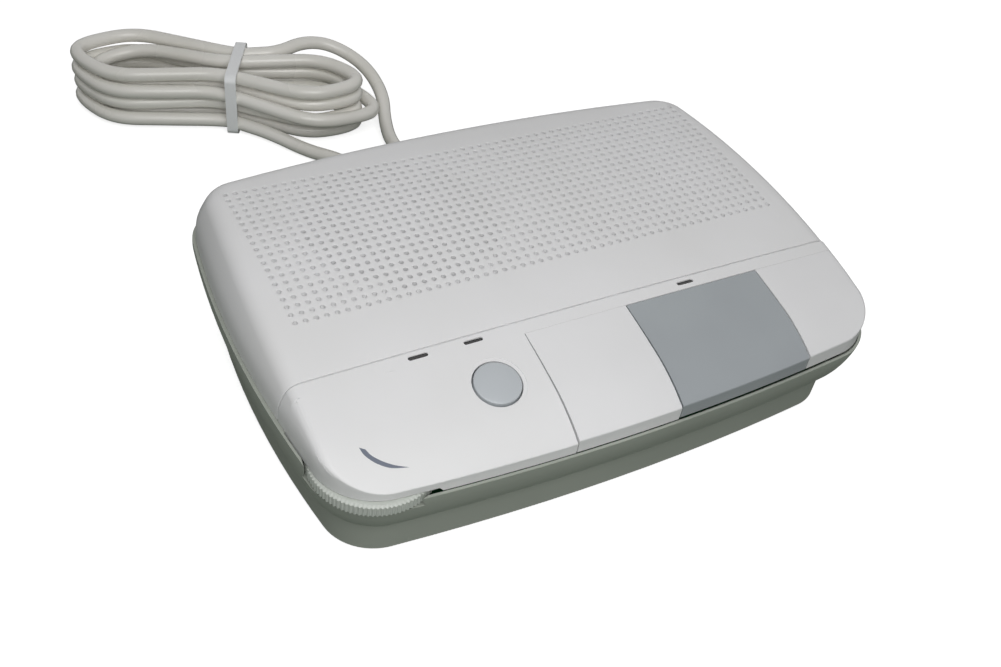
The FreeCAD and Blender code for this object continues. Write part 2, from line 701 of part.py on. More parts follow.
def make_indicator_leds():
    leds = []
    y = (GROOVE_Y + KEY_BACK_Y) / 2
    top = height_at(y) - 4.7
    for x in LIGHT_X:
        dome = Part.makeSphere(LED_R, V(x, y, top - LED_R))
        body = post(x, y, top - LED_LENGTH, top - LED_R, LED_R)
        rim = post(x, y, top - LED_LENGTH, top - LED_LENGTH + 0.7, LED_R + 0.3)
        leg_top = top - LED_LENGTH + 0.1
        legs = [slab(x + side - 0.25, x + side + 0.25, y - 0.25, y + 0.25, SWITCH_BOARD_TOP, leg_top)
                for side in (-0.7, 0.7)]
        leds.append(fuse_all([dome, body, rim] + legs))
    return leds


def leaf_spring(x, width, foot_y, tip_y, tip_z):
    thick = 0.3
    base = SWITCH_BOARD_TOP
    run = abs(tip_y - foot_y)
    sign = -1 if tip_y < foot_y else 1
    profile = [(foot_y - sign * 4, base), (foot_y, base), (foot_y + sign * (run - 2), tip_z - thick),
               (tip_y, tip_z - thick), (tip_y, tip_z), (foot_y + sign * (run - 2) - sign * 0.2, tip_z),
               (foot_y - sign * 0.15, base + thick), (foot_y - sign * 4, base + thick)]
    return prism_x(profile, x - width / 2, x + width / 2)


def make_key_spring(lugs):
    x = (lugs[0] + lugs[1] + LUG_WIDTH) / 2 + 6.5
    tip_y = KEY_RIB_Y - 1.0
    width = 4.0
    outermost = x + width / 2
    return leaf_spring(x, width, KEY_BACK_Y - 5.0, tip_y, crown_at(outermost, tip_y) - WALL - 0.35)


def make_hold_spring():
    under = height_at(HOLD_Y) + PANEL_STEP - 4.4
    return leaf_spring(HOLD_X + 4.5, 3.0, HOLD_Y - 11.5, HOLD_Y - 2.0, under - 1.15)


def make_main_board():
    board = slab(2, 72, -16, 48, MAIN_BOARD_TOP - BOARD_THICKNESS, MAIN_BOARD_TOP)
    board = board.cut(slab(58, 73, 36, 49, -REACH, REACH)).cut(slab(60, 73, -20, -7, -REACH, REACH))
    for x, y in MAIN_BOARD_POSTS:
        board = board.cut(post(x, y, -REACH, REACH, BOARD_SCREW_R + 0.2))
    return board


def make_line_transformer():
    z = MAIN_BOARD_TOP
    core = slab(14, 36, 16, 34, z + 1.0, z + 19.0)
    windows = slab(18, 32, 15, 35, z + 4.5, z + 8.0).fuse(slab(18, 32, 15, 35, z + 12.0, z + 15.5))
    bobbin = slab(17.5, 32.5, 12.5, 37.5, z, z + 16.5)
    return core.cut(windows).fuse(bobbin)


def make_hold_relay():
    z = MAIN_BOARD_TOP
    body = slab(40, 60, 18, 28, z, z + 11)
    return body.makeChamfer(0.6, [edge for edge in body.Edges if edge.CenterOfMass.z > z + 5])


CAPACITORS = [(16.0, 2.0, 5.0, 13.0), (30.0, 0.0, 4.0, 11.0), (44.0, 4.0, 3.2, 11.0), (54.0, 8.0, 3.2, 11.0)]


def make_capacitors():
    cans = []
    for x, y, radius, height in CAPACITORS:
        can = post(x, y, MAIN_BOARD_TOP, MAIN_BOARD_TOP + height, radius)
        groove = post(x, y, MAIN_BOARD_TOP + 1.4, MAIN_BOARD_TOP + 2.2, radius + 1).cut(
            post(x, y, MAIN_BOARD_TOP, MAIN_BOARD_TOP + 3, radius - 0.4))
        cans.append(can.cut(groove))
    return cans


def make_amplifier_ic():
    z = MAIN_BOARD_TOP
    profile = [(-6.4, z + 1.0), (-6.6, z + 2.6), (-6.2, z + 4.2), (-0.4, z + 4.2), (0.0, z + 2.6),
               (-0.2, z + 1.0)]
    body = prism_x([(y - 4, h) for y, h in profile], 34, 53)
    notch = Part.makeCylinder(1.0, 1.0, V(34, -7.3, z + 3.6))
    legs = [slab(35 + 2.54 * n, 35.5 + 2.54 * n, y0, y0 + 0.4, z, z + 2.6)
            for n in range(7) for y0 in (-10.9, -4.1)]
    return fuse_all([body.cut(notch)] + legs)


# Speaker: pressed basket, paper cone, magnet and the clamps that hold it under the grille

BASKET_DEPTH = 12.0
FRAME_SHEET = 0.8
MAGNET_R = 14.0
MAGNET_HEIGHT = 7.0


def turned(points):
    corners = [V(SPEAKER_X + r, SPEAKER_Y, z) for r, z in points]
    face = Part.Face(Part.makePolygon(corners + [corners[0]]))
    return face.revolve(V(SPEAKER_X, SPEAKER_Y, 0), V(0, 0, 1), 360)


def make_speaker_frame():
    top = SPEAKER_SEAT_Z - SEAM
    low = top - BASKET_DEPTH
    profile = [(SPEAKER_R - 0.6, top), (SPEAKER_R - 0.6, top - FRAME_SHEET), (25.4, top - FRAME_SHEET),
               (16.6, low), (6.0, low), (6.0, low + FRAME_SHEET), (16.0, low + FRAME_SHEET), (24.8, top)]
    frame = turned(profile)
    for quarter in range(4):
        window = slab(15, 26, -5.5, 5.5, low + 2.4, top - 3.0)
        window.rotate(V(0, 0, 0), V(0, 0, 1), 90 * quarter + 45)
        window.translate(V(SPEAKER_X, SPEAKER_Y, 0))
        frame = frame.cut(window)
    return frame


def make_speaker_cone():
    top = SPEAKER_SEAT_Z - SEAM
    low = top - BASKET_DEPTH + 2.2
    profile = [(24.0, top + 0.5), (24.0, top + 0.1), (22.4, top - 0.5), (8.2, low), (0.0, low + 1.2),
               (0.0, low + 1.7), (7.8, low + 0.6), (22.2, top + 0.1)]
    rim = [(27.4, top + 0.5), (27.4, top + 0.1), (24.0, top + 0.1), (24.0, top + 0.5)]
    return fuse_all([turned(profile), turned([(r, z) for r, z in rim])]).common(
        post(SPEAKER_X, SPEAKER_Y, -REACH, REACH, SPEAKER_R - 1.75))


def make_speaker_magnet():
    low = SPEAKER_SEAT_Z - SEAM - BASKET_DEPTH
    ring = post(SPEAKER_X, SPEAKER_Y, low - MAGNET_HEIGHT, low, MAGNET_R)
    plate = post(SPEAKER_X, SPEAKER_Y, low - MAGNET_HEIGHT - 1.6, low - MAGNET_HEIGHT, MAGNET_R - 1.0)
    pole = post(SPEAKER_X, SPEAKER_Y, low - 1.0, low + 1.0, 5.2)
    return fuse_all([ring, plate, pole])


def make_speaker_clamps():
    clamps = []
    top = SPEAKER_SEAT_Z - 0.8
    for x, y in clamp_centres():
        angle = math.degrees(math.atan2(y - SPEAKER_Y, x - SPEAKER_X))
        bar = slab(-6.4, 2.6, -2.4, 2.4, -1.2, 0)
        bar = bar.cut(slab(-7, -2.4, -3, 3, -0.3, 1))
        bar = bar.cut(post(0, 0, -2, 2, BEZEL_SCREW_R + 0.15))
        bar.rotate(V(0, 0, 0), V(0, 0, 1), angle)
        bar.translate(V(x, y, top))
        clamps.append(bar)
    return clamps


def make_clamp_screws():
    top = SPEAKER_SEAT_Z - 2.0
    return [screw(x, y, top, 1.2, 1.9, BEZEL_SCREW_R, SPEAKER_SEAT_Z + 1.8, True) for x, y in clamp_centres()]


# Strain relief, in the row frame, and the cord's route

RELIEF_NECK_R = 3.6
RELIEF_FLANGE_R = 5.2


def plinth_back_y():
    height_below = CORD_EXIT_Z - PARTING_HEIGHT
    return HALF_D - CREASE_INSET - height_below * math.sin(math.radians(WEDGE_DEG))


def relief_tip_y():
    return plinth_back_y() + RELIEF_LENGTH


def make_strain_relief():
    wall_y = plinth_back_y()
    tail_r = CORD_D / 2 + 0.7
    bore_r = CORD_D / 2 + 0.02
    neck_r = RELIEF_NECK_R - 0.05
    inside_y = wall_y - WALL - 1.2
    profile = [(bore_r, inside_y - 2.0), (RELIEF_FLANGE_R, inside_y - 2.0), (RELIEF_FLANGE_R, inside_y),
               (neck_r, inside_y), (neck_r, wall_y + 0.5), (RELIEF_FLANGE_R, wall_y + 0.5),
               (RELIEF_FLANGE_R, wall_y + 1.8), (RELIEF_NECK_R + 0.4, wall_y + 2.4), (tail_r, relief_tip_y()),
               (bore_r, relief_tip_y())]
    corners = [V(CORD_EXIT_X + r, y, CORD_EXIT_Z) for r, y in profile]
    face = Part.Face(Part.makePolygon(corners + [corners[0]]))
    relief = face.revolve(V(CORD_EXIT_X, 0, CORD_EXIT_Z), V(0, 1, 0), 360)
    for rib in range(4):
        y = wall_y + 4.0 + 2.4 * rib
        for low, high in ((3.0, 9.0), (-9.0, -3.0)):
            slot = slab(CORD_EXIT_X - 6, CORD_EXIT_X + 6, y, y + 0.9, CORD_EXIT_Z + low, CORD_EXIT_Z + high)
            relief = relief.cut(slot)
    return relief


HANK_Z0 = CORD_D / 2 + TIE_THICKNESS + 0.3
HANK_TOP_Z = HANK_Z0 + 3 * HANK_LAYER


def hank_place(u, v, z):
    angle = math.radians(HANK_DEG)
    x = HANK_X + u * math.cos(angle) - v * math.sin(angle)
    y = HANK_Y + u * math.sin(angle) + v * math.cos(angle)
    return V(x, y, z)


def hank_direction(degrees):
    angle = math.radians(HANK_DEG + degrees)
    return V(math.cos(angle), math.sin(angle), 0)


def hank_end(side, z):
    flare = math.radians(HANK_FLARE_DEG)
    bend = HANK_END_U - CORD_D * math.cos(flare) - HANK_WAIST_U
    rise = CORD_D * math.sin(flare) + bend * math.tan(flare / 2)
    return hank_place(HANK_END_U, side * (HANK_WAIST + rise), z)


def front_route():
    # From the strain relief round the right-hand lobe to the top layer of the hank
    end = hank_end(1, HANK_TOP_Z)
    lead = end + hank_direction(HANK_FLARE_DEG) * 10.5
    return [V(CORD_EXIT_X, relief_tip_y(), CORD_EXIT_Z), V(22.0, 80.0, 8.6), V(20.5, 90.5, 4.6),
            V(16.0, 102.0, 2.4), V(13.0, 114.5, 2.4), V(16.0, 127.5, 3.6), V(20.5, 139.5, 8.2),
            V(18.5, 152.5, 14.0), V(9.0, 162.0, 18.6), V(-2.0, 163.6, 20.6), lead, end]


def tail_route():
    # From the bottom layer of the hank to the plug behind the case
    end = hank_end(-1, HANK_Z0)
    lead = end + hank_direction(-HANK_FLARE_DEG) * 12
    return [end, lead, V(-20.5, 120.5, 2.5), V(-11.5, 111.5, 2.4), V(-7.0, 100.5, 2.6),
            V(PLUG_X, PLUG_BACK_Y, PLUG_MID_Z)]


PLUG_X = -6.5
PLUG_BACK_Y = 87.0
PLUG_MID_Z = 3.3


def tube_along(points, label):
    edges = []
    here = points[0]
    length = 0.0
    radii = []
    for before, point, after in zip(points, points[1:], points[2:]):
        into = unit(point - before)
        out = unit(after - point)
        turn = into.getAngle(out)
        reach = 0.45 * min((point - before).Length, (after - point).Length)
        radius = reach / math.tan(turn / 2)
        radii.append(radius)
        start = point - into * reach
        end = point + out * reach
        inward = unit(out - into)
        middle = point + inward * (radius / math.cos(turn / 2) - radius)
        edges.append(Part.LineSegment(here, start).toShape())
        edges.append(Part.Arc(start, middle, end).toShape())
        length += (start - here).Length + radius * turn
        here = end
    edges.append(Part.LineSegment(here, points[-1]).toShape())
    length += (points[-1] - here).Length
    return sweep(Part.Wire(edges), points[0], points[1] - points[0], length, label, radii)


def sweep(path, start, direction, length, label, radii):
    section = Part.Wire(Part.Circle(start, direction, CORD_D / 2).toShape())
    solid = path.makePipeShell([section], True, False)
    expected = math.pi * CORD_D ** 2 / 4 * length
    print(label, "length", round(length, 1), "volume ratio", round(solid.Volume / expected, 5))
    print(label, "radii", [round(radius, 1) for radius in radii])
    return solid


# Hank: one tube in four layers, spiralling in and out, each climb along a run

def swing(turns):
    # Inward offset in steps: a steady zigzag that reverses at the lobe where a layer ends
    phase = (turns - 1.25) % 3.0
    return 1.25 - phase if phase < 1.5 else -0.25 + (phase - 1.5)


def hank_stations():
    stations = []
    layer = 0
    flare = HANK_FLARE_DEG
    steps = int(HANK_TURNS * 2)
    for half in range(steps):
        front = half % 2 == 0
        side = -1 if front else 1
        heading = 180 if front else 0
        way = -1 if front else 1
        turns = half / 2
        waist_v = side * (HANK_WAIST - max(0, swing(turns)) * HANK_WAIST_STEP)
        z = HANK_Z0 + layer * HANK_LAYER
        if half == 0:
            stations.append((hank_end(-1, z), hank_direction(heading - flare)))
            straight = hank_end(-1, z) + hank_direction(heading - flare) * CORD_D
            stations.append((straight, hank_direction(heading - flare)))
            stations.append((hank_place(HANK_WAIST_U, waist_v, z), hank_direction(heading)))
        else:
            stations.append((hank_place(0, waist_v, z), hank_direction(heading)))
        lobe_in = HANK_LOBE_R - swing(turns + 0.2) * HANK_STEP
        lobe_out = HANK_LOBE_R - swing(turns + 0.3) * HANK_STEP
        tip_r = HANK_LOBE_R - swing(turns + 0.25) * HANK_STEP
        stations.append((hank_place(way * HANK_LOBE_U, side * lobe_in, z), hank_direction(heading)))
        stations.append((hank_place(way * (HANK_LOBE_U + tip_r), 0, z), hank_direction(heading - 90)))
        climbing = (turns - 1.0) % 1.5 == 0
        leave = hank_direction(heading + 180)
        lift = 0.0
        if climbing:
            leave = unit(leave + V(0, 0, HANK_CLIMB_SLOPE))
            lift = HANK_CLIMB_SHARE * HANK_LAYER
            layer += 1
        stations.append((hank_place(way * HANK_LOBE_U, -side * lobe_out, z + lift), leave))
    z = HANK_Z0 + layer * HANK_LAYER
    end = hank_end(1, z)
    stations.append((hank_place(HANK_WAIST_U, HANK_WAIST, z), hank_direction(0)))
    stations.append((end - hank_direction(flare) * CORD_D, hank_direction(flare)))
    stations.append((end, hank_direction(flare)))
    return stations


def biarc(p0, t0, p1, t1):
    span = p1 - p0
    both = t0 + t1
    a = both.dot(both) - 4
    b = -2 * span.dot(both)
    c = span.dot(span)
    if abs(a) < 1e-9:
        reach = -c / b
    else:
        reach = (-b - math.sqrt(b * b - 4 * a * c)) / (2 * a)
        if reach < 0:
            reach = (-b + math.sqrt(b * b - 4 * a * c)) / (2 * a)
    q0 = p0 + t0 * reach
    q1 = p1 - t1 * reach
    joint = (q0 + q1) / 2
    return [arc_or_line(p0, q0, joint), arc_or_line(joint, q1, p1)]


def arc_or_line(start, corner, end):
    into = unit(corner - start)
    out = unit(end - corner)
    turn = into.getAngle(out)
    if turn < 1e-5:
        return (Part.LineSegment(start, end).toShape(), (end - start).Length, 1e9)
    radius = (corner - start).Length / math.tan(turn / 2)
    inward = unit(out - into)
    middle = corner + inward * (radius / math.cos(turn / 2) - radius)
    return (Part.Arc(start, middle, end).toShape(), radius * turn, radius)


def hank_path():
    stations = hank_stations()
    pieces = []
    for (p0, t0), (p1, t1) in zip(stations, stations[1:]):
        pieces.extend(biarc(p0, t0, p1, t1))
    return pieces


def self_gap(pieces):
    samples = []
    travelled = 0.0
    for edge, length, radius in pieces:
        count = max(2, int(length / 1.5))
        for index in range(count):
            first, last = edge.ParameterRange
            point = edge.valueAt(first + (last - first) * index / count)
            samples.append((travelled + length * index / count, point))
        travelled += length
    least = 1e9
    for index, (place, point) in enumerate(samples):
        for other_place, other in samples[index + 1:]:
            if other_place - place > 4 * CORD_D:
                least = min(least, (other - point).Length)
    return least - CORD_D


def make_cord_hank():
    pieces = hank_path()
    length = sum(piece[1] for piece in pieces)
    radii = [piece[2] for piece in pieces if piece[2] < 1e8]
    print("cord_hank least gap to itself", round(self_gap(pieces), 2))
    wire = Part.Wire([piece[0] for piece in pieces])
    start, direction = hank_stations()[0]
    return sweep(wire, start, direction, length, "cord_hank", [min(radii), max(radii)])


def edges_along_x(shape):
    return [edge for edge in shape.Edges if abs(edge.tangentAt(edge.FirstParameter).x) > 0.9]


def make_cord_tie():
    half_v = HANK_WAIST + CORD_D / 2 + 0.35
    low = HANK_Z0 - CORD_D / 2 - 0.25
    high = HANK_TOP_Z + CORD_D / 2 + 0.35
    t = TIE_THICKNESS
    half_u = 1.9
    outer = slab(-half_u, half_u, -half_v - t, half_v + t, low - t, high + t)
    outer = outer.makeFillet(2.6, edges_along_x(outer))
    inner = slab(-half_u - 1, half_u + 1, -half_v, half_v, low, high)
    inner = inner.makeFillet(1.8, edges_along_x(inner))
    tie = outer.cut(inner)
    tie.rotate(V(0, 0, 0), V(0, 0, 1), HANK_DEG)
    tie.translate(V(HANK_X, HANK_Y, 0))
    return tie


def make_modular_plug():
    half_w = 5.85
    front = PLUG_BACK_Y - 21.5
    body = slab(-half_w, half_w, front, PLUG_BACK_Y, 0.0, 6.6)
    body = body.makeChamfer(0.5, [edge for edge in body.Edges if abs(edge.CenterOfMass.y - PLUG_BACK_Y) < 0.01])
    lever_end = PLUG_BACK_Y - 1.5
    lever_side = [(front + 1.0, 6.6), (front + 1.0, 7.4), (lever_end, 9.4), (lever_end, 8.6), (front + 5.0, 6.6)]
    lever = prism_x(lever_side, -1.6, 1.6)
    for n in range(5):
        x = -4.55 + 2.0 * n
        body = body.cut(slab(x, x + 0.4, front - 1, front + 6, 0.9, 3.0))
    plug = body.fuse(lever)
    plug.translate(V(PLUG_X, 0, 0))
    return plug


def make_key_hinge_rod():
    return Part.makeCylinder(ROD_R, ROD_END - ROD_START, V(ROD_START, ROD_Y, ROD_Z), V(1, 0, 0))


def key_spans():
    half = MOVING_GAP / 2
    return {
        "lock": (PANEL_RIGHT_X + MOVING_GAP, LOCK_TALK_X - half),
        "talk": (LOCK_TALK_X + half, TALK_CALL_X - half),
        "call": (TALK_CALL_X + half, REACH),
    }


def case_frame_nodes():
    spans = key_spans()
    nodes = {
        "top_case": [make_top_case()],
        "control_bezel": [make_control_bezel()],
        "bottom_case": [make_bottom_case()],
        "key_hinge_rod": [make_key_hinge_rod()],
        "hold_button": [make_hold_button()],
        "hold_spring": [make_hold_spring()],
        "volume_wheel": [make_volume_wheel()],
        "volume_potentiometer": [make_volume_potentiometer()],
        "case_screws": make_case_screws(),
        "bezel_screws": make_bezel_screws(),
        "board_screws": make_board_screws(),
        "rubber_feet": make_rubber_feet(),
        "switch_board": [make_switch_board()],
        "key_switches": make_key_switches(),
        "indicator_lenses": make_indicator_lenses(),
        "indicator_leds": make_indicator_leds(),
        "main_board": [make_main_board()],
        "line_transformer": [make_line_transformer()],
        "hold_relay": [make_hold_relay()],
        "capacitors": make_capacitors(),
        "amplifier_ic": [make_amplifier_ic()],
        "speaker_frame": [make_speaker_frame()],
        "speaker_cone": [make_speaker_cone()],
        "speaker_magnet": [make_speaker_magnet()],
        "speaker_clamps": make_speaker_clamps(),
        "clamp_screws": make_clamp_screws(),
    }
    for name, lugs in LUGS.items():
        nodes[name + "_key"] = [make_key(*spans[name], lugs)]
        nodes[name + "_spring"] = [make_key_spring(lugs)]
    return nodes


def row_frame_nodes():
    return {
        "strain_relief": [make_strain_relief()],
        "line_cord": [tube_along(front_route(), "line_cord")],
        "cord_hank": [make_cord_hank()],
        "cord_tail": [tube_along(tail_route(), "cord_tail")],
        "cord_tie": [make_cord_tie()],
        "modular_plug": [make_modular_plug()],
    }


def write_nodes(nodes):
    for name, solids in nodes.items():
        pieces = []
        for solid in solids:
            pieces.extend(solid.Solids)
        shape = pieces[0] if len(pieces) == 1 else Part.makeCompound(pieces)
        if len(pieces) != len(solids) or not shape.isValid():
            print("CHECK", name, "solids", len(pieces), "expected", len(solids), "valid", shape.isValid())
        shape.exportStep("parts/" + name + ".step")


os.makedirs("parts", exist_ok=True)
write_nodes({name: [tip(solid) for solid in solids] for name, solids in case_frame_nodes().items()})
write_nodes(row_frame_nodes())
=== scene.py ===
"""Desk intercom for a phone line: the looks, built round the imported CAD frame.

The case is a low wedge of satin off-white ABS. Its crowned lid carries a square field of round grille holes,
and in front of a narrow groove lie a control panel with a round button, and three hinged keys. A ribbed
thumbwheel shows at the front left corner, and the line cord lies behind the case in a tied hank.
"""

import logging
import math
from dataclasses import dataclass, field
from enum import Enum
from typing import Callable, Sequence

import bmesh
import bpy
from mathutils import Matrix, Vector, kdtree


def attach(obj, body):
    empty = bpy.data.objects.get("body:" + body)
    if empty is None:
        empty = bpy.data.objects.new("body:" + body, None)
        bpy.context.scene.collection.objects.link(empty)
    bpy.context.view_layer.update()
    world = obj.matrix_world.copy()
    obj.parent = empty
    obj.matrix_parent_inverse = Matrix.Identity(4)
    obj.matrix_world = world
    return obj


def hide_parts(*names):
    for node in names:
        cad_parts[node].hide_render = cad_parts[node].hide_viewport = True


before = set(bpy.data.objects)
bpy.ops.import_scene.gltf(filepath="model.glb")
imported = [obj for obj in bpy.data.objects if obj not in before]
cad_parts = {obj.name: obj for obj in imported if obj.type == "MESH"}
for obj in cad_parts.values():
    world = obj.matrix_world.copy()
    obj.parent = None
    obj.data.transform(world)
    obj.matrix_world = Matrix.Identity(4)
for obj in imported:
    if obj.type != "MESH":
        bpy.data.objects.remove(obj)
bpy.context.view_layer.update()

LOG = logging.getLogger("intercom")
MM = 0.001


# Materials

def linear(hex_colour: str) -> tuple[float, float, float, float]:
    """Turns an sRGB hex colour into the linear colour that a shader socket takes.

    Args:
        hex_colour: six hex digits, with or without a leading hash.

    Returns:
        Red, green, blue and an alpha of one.
    """
    digits = hex_colour.lstrip("#")
    channels = [int(digits[place:place + 2], 16) / 255 for place in (0, 2, 4)]
    curve = [value / 12.92 if value <= 0.04045 else ((value + 0.055) / 1.055) ** 2.4 for value in channels]
    return (curve[0], curve[1], curve[2], 1.0)


def add_node(tree: bpy.types.NodeTree, kind: str, values: dict[str, object] | None = None,
             links: dict[str | int, bpy.types.NodeSocket] | None = None,
             **settings: object) -> bpy.types.Node:
    """Adds one node with its settings, socket values and links.

    Args:
        tree: the node tree.
        kind: the node's type name.
        values: input name to the constant set on it.
        links: input name or number to the socket that feeds it.
        settings: attributes of the node itself.

    Returns:
        The new node.
    """
    node = tree.nodes.new(kind)
    for name, value in settings.items():
        setattr(node, name, value)
    for name, value in (values or {}).items():
        node.inputs[name].default_value = value
    for name, socket in (links or {}).items():
        tree.links.new(socket, node.inputs[name])
    return node


class NodeMaterial:
    """A Principled material under construction, with the few steps that every finish shares."""

    def __init__(self, name: str, values: dict[str, object]) -> None:
        """Starts with the shader and its output.

        Args:
            name: the material's name.
            values: shader input to the constant set on it.
        """
        self.material = bpy.data.materials.new(name)
        self.material.use_nodes = True
        self.tree = self.material.node_tree
        self.tree.nodes.clear()
        self.shader = add_node(self.tree, "ShaderNodeBsdfPrincipled", values)
        self.output = add_node(self.tree, "ShaderNodeOutputMaterial",
                               links={"Surface": self.shader.outputs["BSDF"]})

    def noise(self, size_mm: float, detail: float,
              stretch: tuple[float, float, float] = (1.0, 1.0, 1.0)) -> bpy.types.NodeSocket:
        """Adds a noise in the object's own space.

        Args:
            size_mm: size of its grain.
            detail: how many finer layers it has.
            stretch: scale along each axis; a small value draws the grain out.

        Returns:
            The socket with its value.
        """
        place = add_node(self.tree, "ShaderNodeTexCoord").outputs["Object"]
        mapping = add_node(self.tree, "ShaderNodeMapping", {"Scale": stretch}, {"Vector": place})
        return add_node(self.tree, "ShaderNodeTexNoise", {"Scale": 1 / (size_mm * MM), "Detail": detail},
                        {"Vector": mapping.outputs["Vector"]}).outputs["Fac"]

    def remap(self, value: bpy.types.NodeSocket, low: float, high: float, start: float = 0.0,
              end: float = 1.0) -> bpy.types.NodeSocket:
        """Spreads a value between start and end over the range from low to high."""
        values = {"From Min": start, "From Max": end, "To Min": low, "To Max": high}
        return add_node(self.tree, "ShaderNodeMapRange", values, {"Value": value}).outputs["Result"]

    def feed(self, name: str, socket: bpy.types.NodeSocket) -> None:
        """Links a socket to an input of the shader."""
        self.tree.links.new(socket, self.shader.inputs[name])

    def tint(self, factor: bpy.types.NodeSocket, first: str, second: str) -> None:
        """Mixes two hex colours into the base colour."""
        values = {"A": linear(first), "B": linear(second)}
        mix = add_node(self.tree, "ShaderNodeMix", values, {"Factor": factor}, data_type="RGBA")
        self.feed("Base Color", mix.outputs["Result"])

    def bump(self, height: bpy.types.NodeSocket, strength: float, depth_mm: float) -> None:
        """Lets the surface follow a height."""
        values = {"Strength": strength, "Distance": depth_mm * MM}
        relief = add_node(self.tree, "ShaderNodeBump", values, {"Height": height})
        self.feed("Normal", relief.outputs["Normal"])


@dataclass(frozen=True)
class MouldedPlastic:
    """Injection-moulded thermoplastic with a spark-eroded grain, the usual finish of a telephone housing.

    The eye sees one even colour, a broad soft highlight broken up by the grain, and slightly warmer, duller
    patches where hands and dust have been.
    """

    name: str
    colour: str
    worn_colour: str
    roughness: float = 0.42
    roughness_spread: float = 0.08
    grain_mm: float = 0.35
    grain_depth_mm: float = 0.012
    cloud_mm: float = 45.0
    ior: float = 1.53

    def build(self) -> bpy.types.Material:
        """Builds the material and returns it."""
        look = NodeMaterial(self.name, {"IOR": self.ior})
        cloud = look.noise(self.cloud_mm, 3.0)
        look.tint(look.remap(cloud, 0.0, 1.0, 0.35, 0.7), self.colour, self.worn_colour)
        dullest = self.roughness + self.roughness_spread
        look.feed("Roughness", look.remap(cloud, self.roughness, dullest, 0.3, 0.7))
        look.bump(look.noise(self.grain_mm, 2.0), 0.6, self.grain_depth_mm)
        return look.material


@dataclass(frozen=True)
class ClearPlastic:
    """Clear or tinted polycarbonate and nylon: a hard gloss with light passing through it."""

    name: str
    colour: str
    roughness: float
    transmission: float
    ior: float = 1.58
    haze_mm: float = 2.5

    def build(self) -> bpy.types.Material:
        """Builds the material and returns it."""
        look = NodeMaterial(self.name, {"Base Color": linear(self.colour), "IOR": self.ior,
                                        "Transmission Weight": self.transmission})
        haze = look.noise(self.haze_mm, 3.0)
        look.feed("Roughness", look.remap(haze, self.roughness, self.roughness + 0.15))
        look.bump(haze, 0.3, 0.02)
        return look.material


@dataclass(frozen=True)
class Metal:
    """Plated or plain sheet metal with the faint direction that rolling and pressing leave in it."""

    name: str
    colour: str
    roughness: float
    line_mm: float = 0.4

    def build(self) -> bpy.types.Material:
        """Builds the material and returns it."""
        look = NodeMaterial(self.name, {"Base Color": linear(self.colour), "Metallic": 1.0})
        lines = look.noise(self.line_mm, 3.0, stretch=(0.08, 1.0, 1.0))
        look.feed("Roughness", look.remap(lines, self.roughness - 0.08, self.roughness + 0.12))
        look.bump(lines, 0.25, 0.01)
        return look.material


@dataclass(frozen=True)
class SpeckledSolid:
    """A dull compound such as rubber, ferrite, paper pulp or laminate: one colour broken by fine specks."""

    name: str
    colour: str
    speck_colour: str
    roughness: float
    speck_mm: float = 0.5

    def build(self) -> bpy.types.Material:
        """Builds the material and returns it."""
        look = NodeMaterial(self.name, {"Roughness": self.roughness})
        speck = look.noise(self.speck_mm, 4.0)
        look.tint(speck, self.colour, self.speck_colour)
        look.bump(speck, 0.5, 0.03)
        return look.material


class Finish(Enum):
    """Every finish on the intercom, by what it is made of; the lower case and thumbwheel colours also hold
    painted shade and painted reflection.
    """

    CASE = MouldedPlastic("moulded_abs_off_white", "#e7e7e8", "#e2e2e2")
    # Painted shade and painted reflection: this darker grey-green stands in for the shade low on the case and
    # a green surface's reflection; the plastic itself is off-white like the case.
    PLINTH = MouldedPlastic("moulded_abs_lower_case_painted_shade_and_reflection", "#a3a89f", "#9ba097", roughness=0.46)
    KEY = MouldedPlastic("moulded_abs_key_white", "#e7e7e8", "#e1e1e2", roughness=0.36, grain_mm=0.25,
                         grain_depth_mm=0.006)
    TALK = MouldedPlastic("moulded_abs_blue_grey", "#a2a8ab", "#9a9fa3", roughness=0.36, grain_mm=0.25,
                          grain_depth_mm=0.006)
    BUTTON = MouldedPlastic("moulded_abs_light_grey", "#bec3c7", "#b6bbbf", roughness=0.3, grain_mm=0.25,
                            grain_depth_mm=0.004)
    # Painted shade and painted reflection: the wheel's darker grey-green tint is taken like the lower case's,
    # standing in for shade and a green surface's reflection.
    WHEEL = MouldedPlastic("moulded_abs_thumbwheel_painted_shade_and_reflection", "#c6cac4", "#b9beb7", roughness=0.45)
    MARK = MouldedPlastic("printed_ink_grey", "#6b7280", "#636a78", roughness=0.5)
    CORD = MouldedPlastic("extruded_vinyl_warm_grey", "#efede7", "#e6e4dc", roughness=0.24,
                          roughness_spread=0.06, grain_mm=1.2, grain_depth_mm=0.01, cloud_mm=30.0)
    LENS = ClearPlastic("smoked_acrylic_lens", "#1c1a1a", 0.12, 0.25, ior=1.49)
    TIE = ClearPlastic("milky_nylon", "#fafcfd", 0.3, 0.05, ior=1.53)
    PLUG = ClearPlastic("clear_polycarbonate", "#e9eef0", 0.08, 0.85)
    LED = ClearPlastic("diffused_red_epoxy", "#8c1a14", 0.2, 0.3, ior=1.55)
    DARK = SpeckledSolid("black_moulding_compound", "#101010", "#1c1c1c", 0.55)
    BOARD = SpeckledSolid("green_solder_mask", "#1d5a34", "#2a6b42", 0.35, speck_mm=1.5)
    SLEEVE = SpeckledSolid("shrunk_vinyl_sleeve", "#14183a", "#1c2147", 0.3)
    RELAY = SpeckledSolid("amber_polyester", "#b5822e", "#bd8c3b", 0.35)
    FERRITE = SpeckledSolid("ground_ferrite", "#1d1d1f", "#2b2b2e", 0.6)
    PAPER = SpeckledSolid("pressed_paper_pulp", "#17161a", "#26242a", 0.9, speck_mm=0.8)
    RUBBER = SpeckledSolid("matt_black_rubber", "#161616", "#202020", 0.85)
    STEEL = Metal("zinc_plated_steel", "#b4b6b8", 0.38)
    SPRING = Metal("spring_steel", "#a6a8ab", 0.32)
    CORE = Metal("varnished_laminations", "#56565a", 0.5)


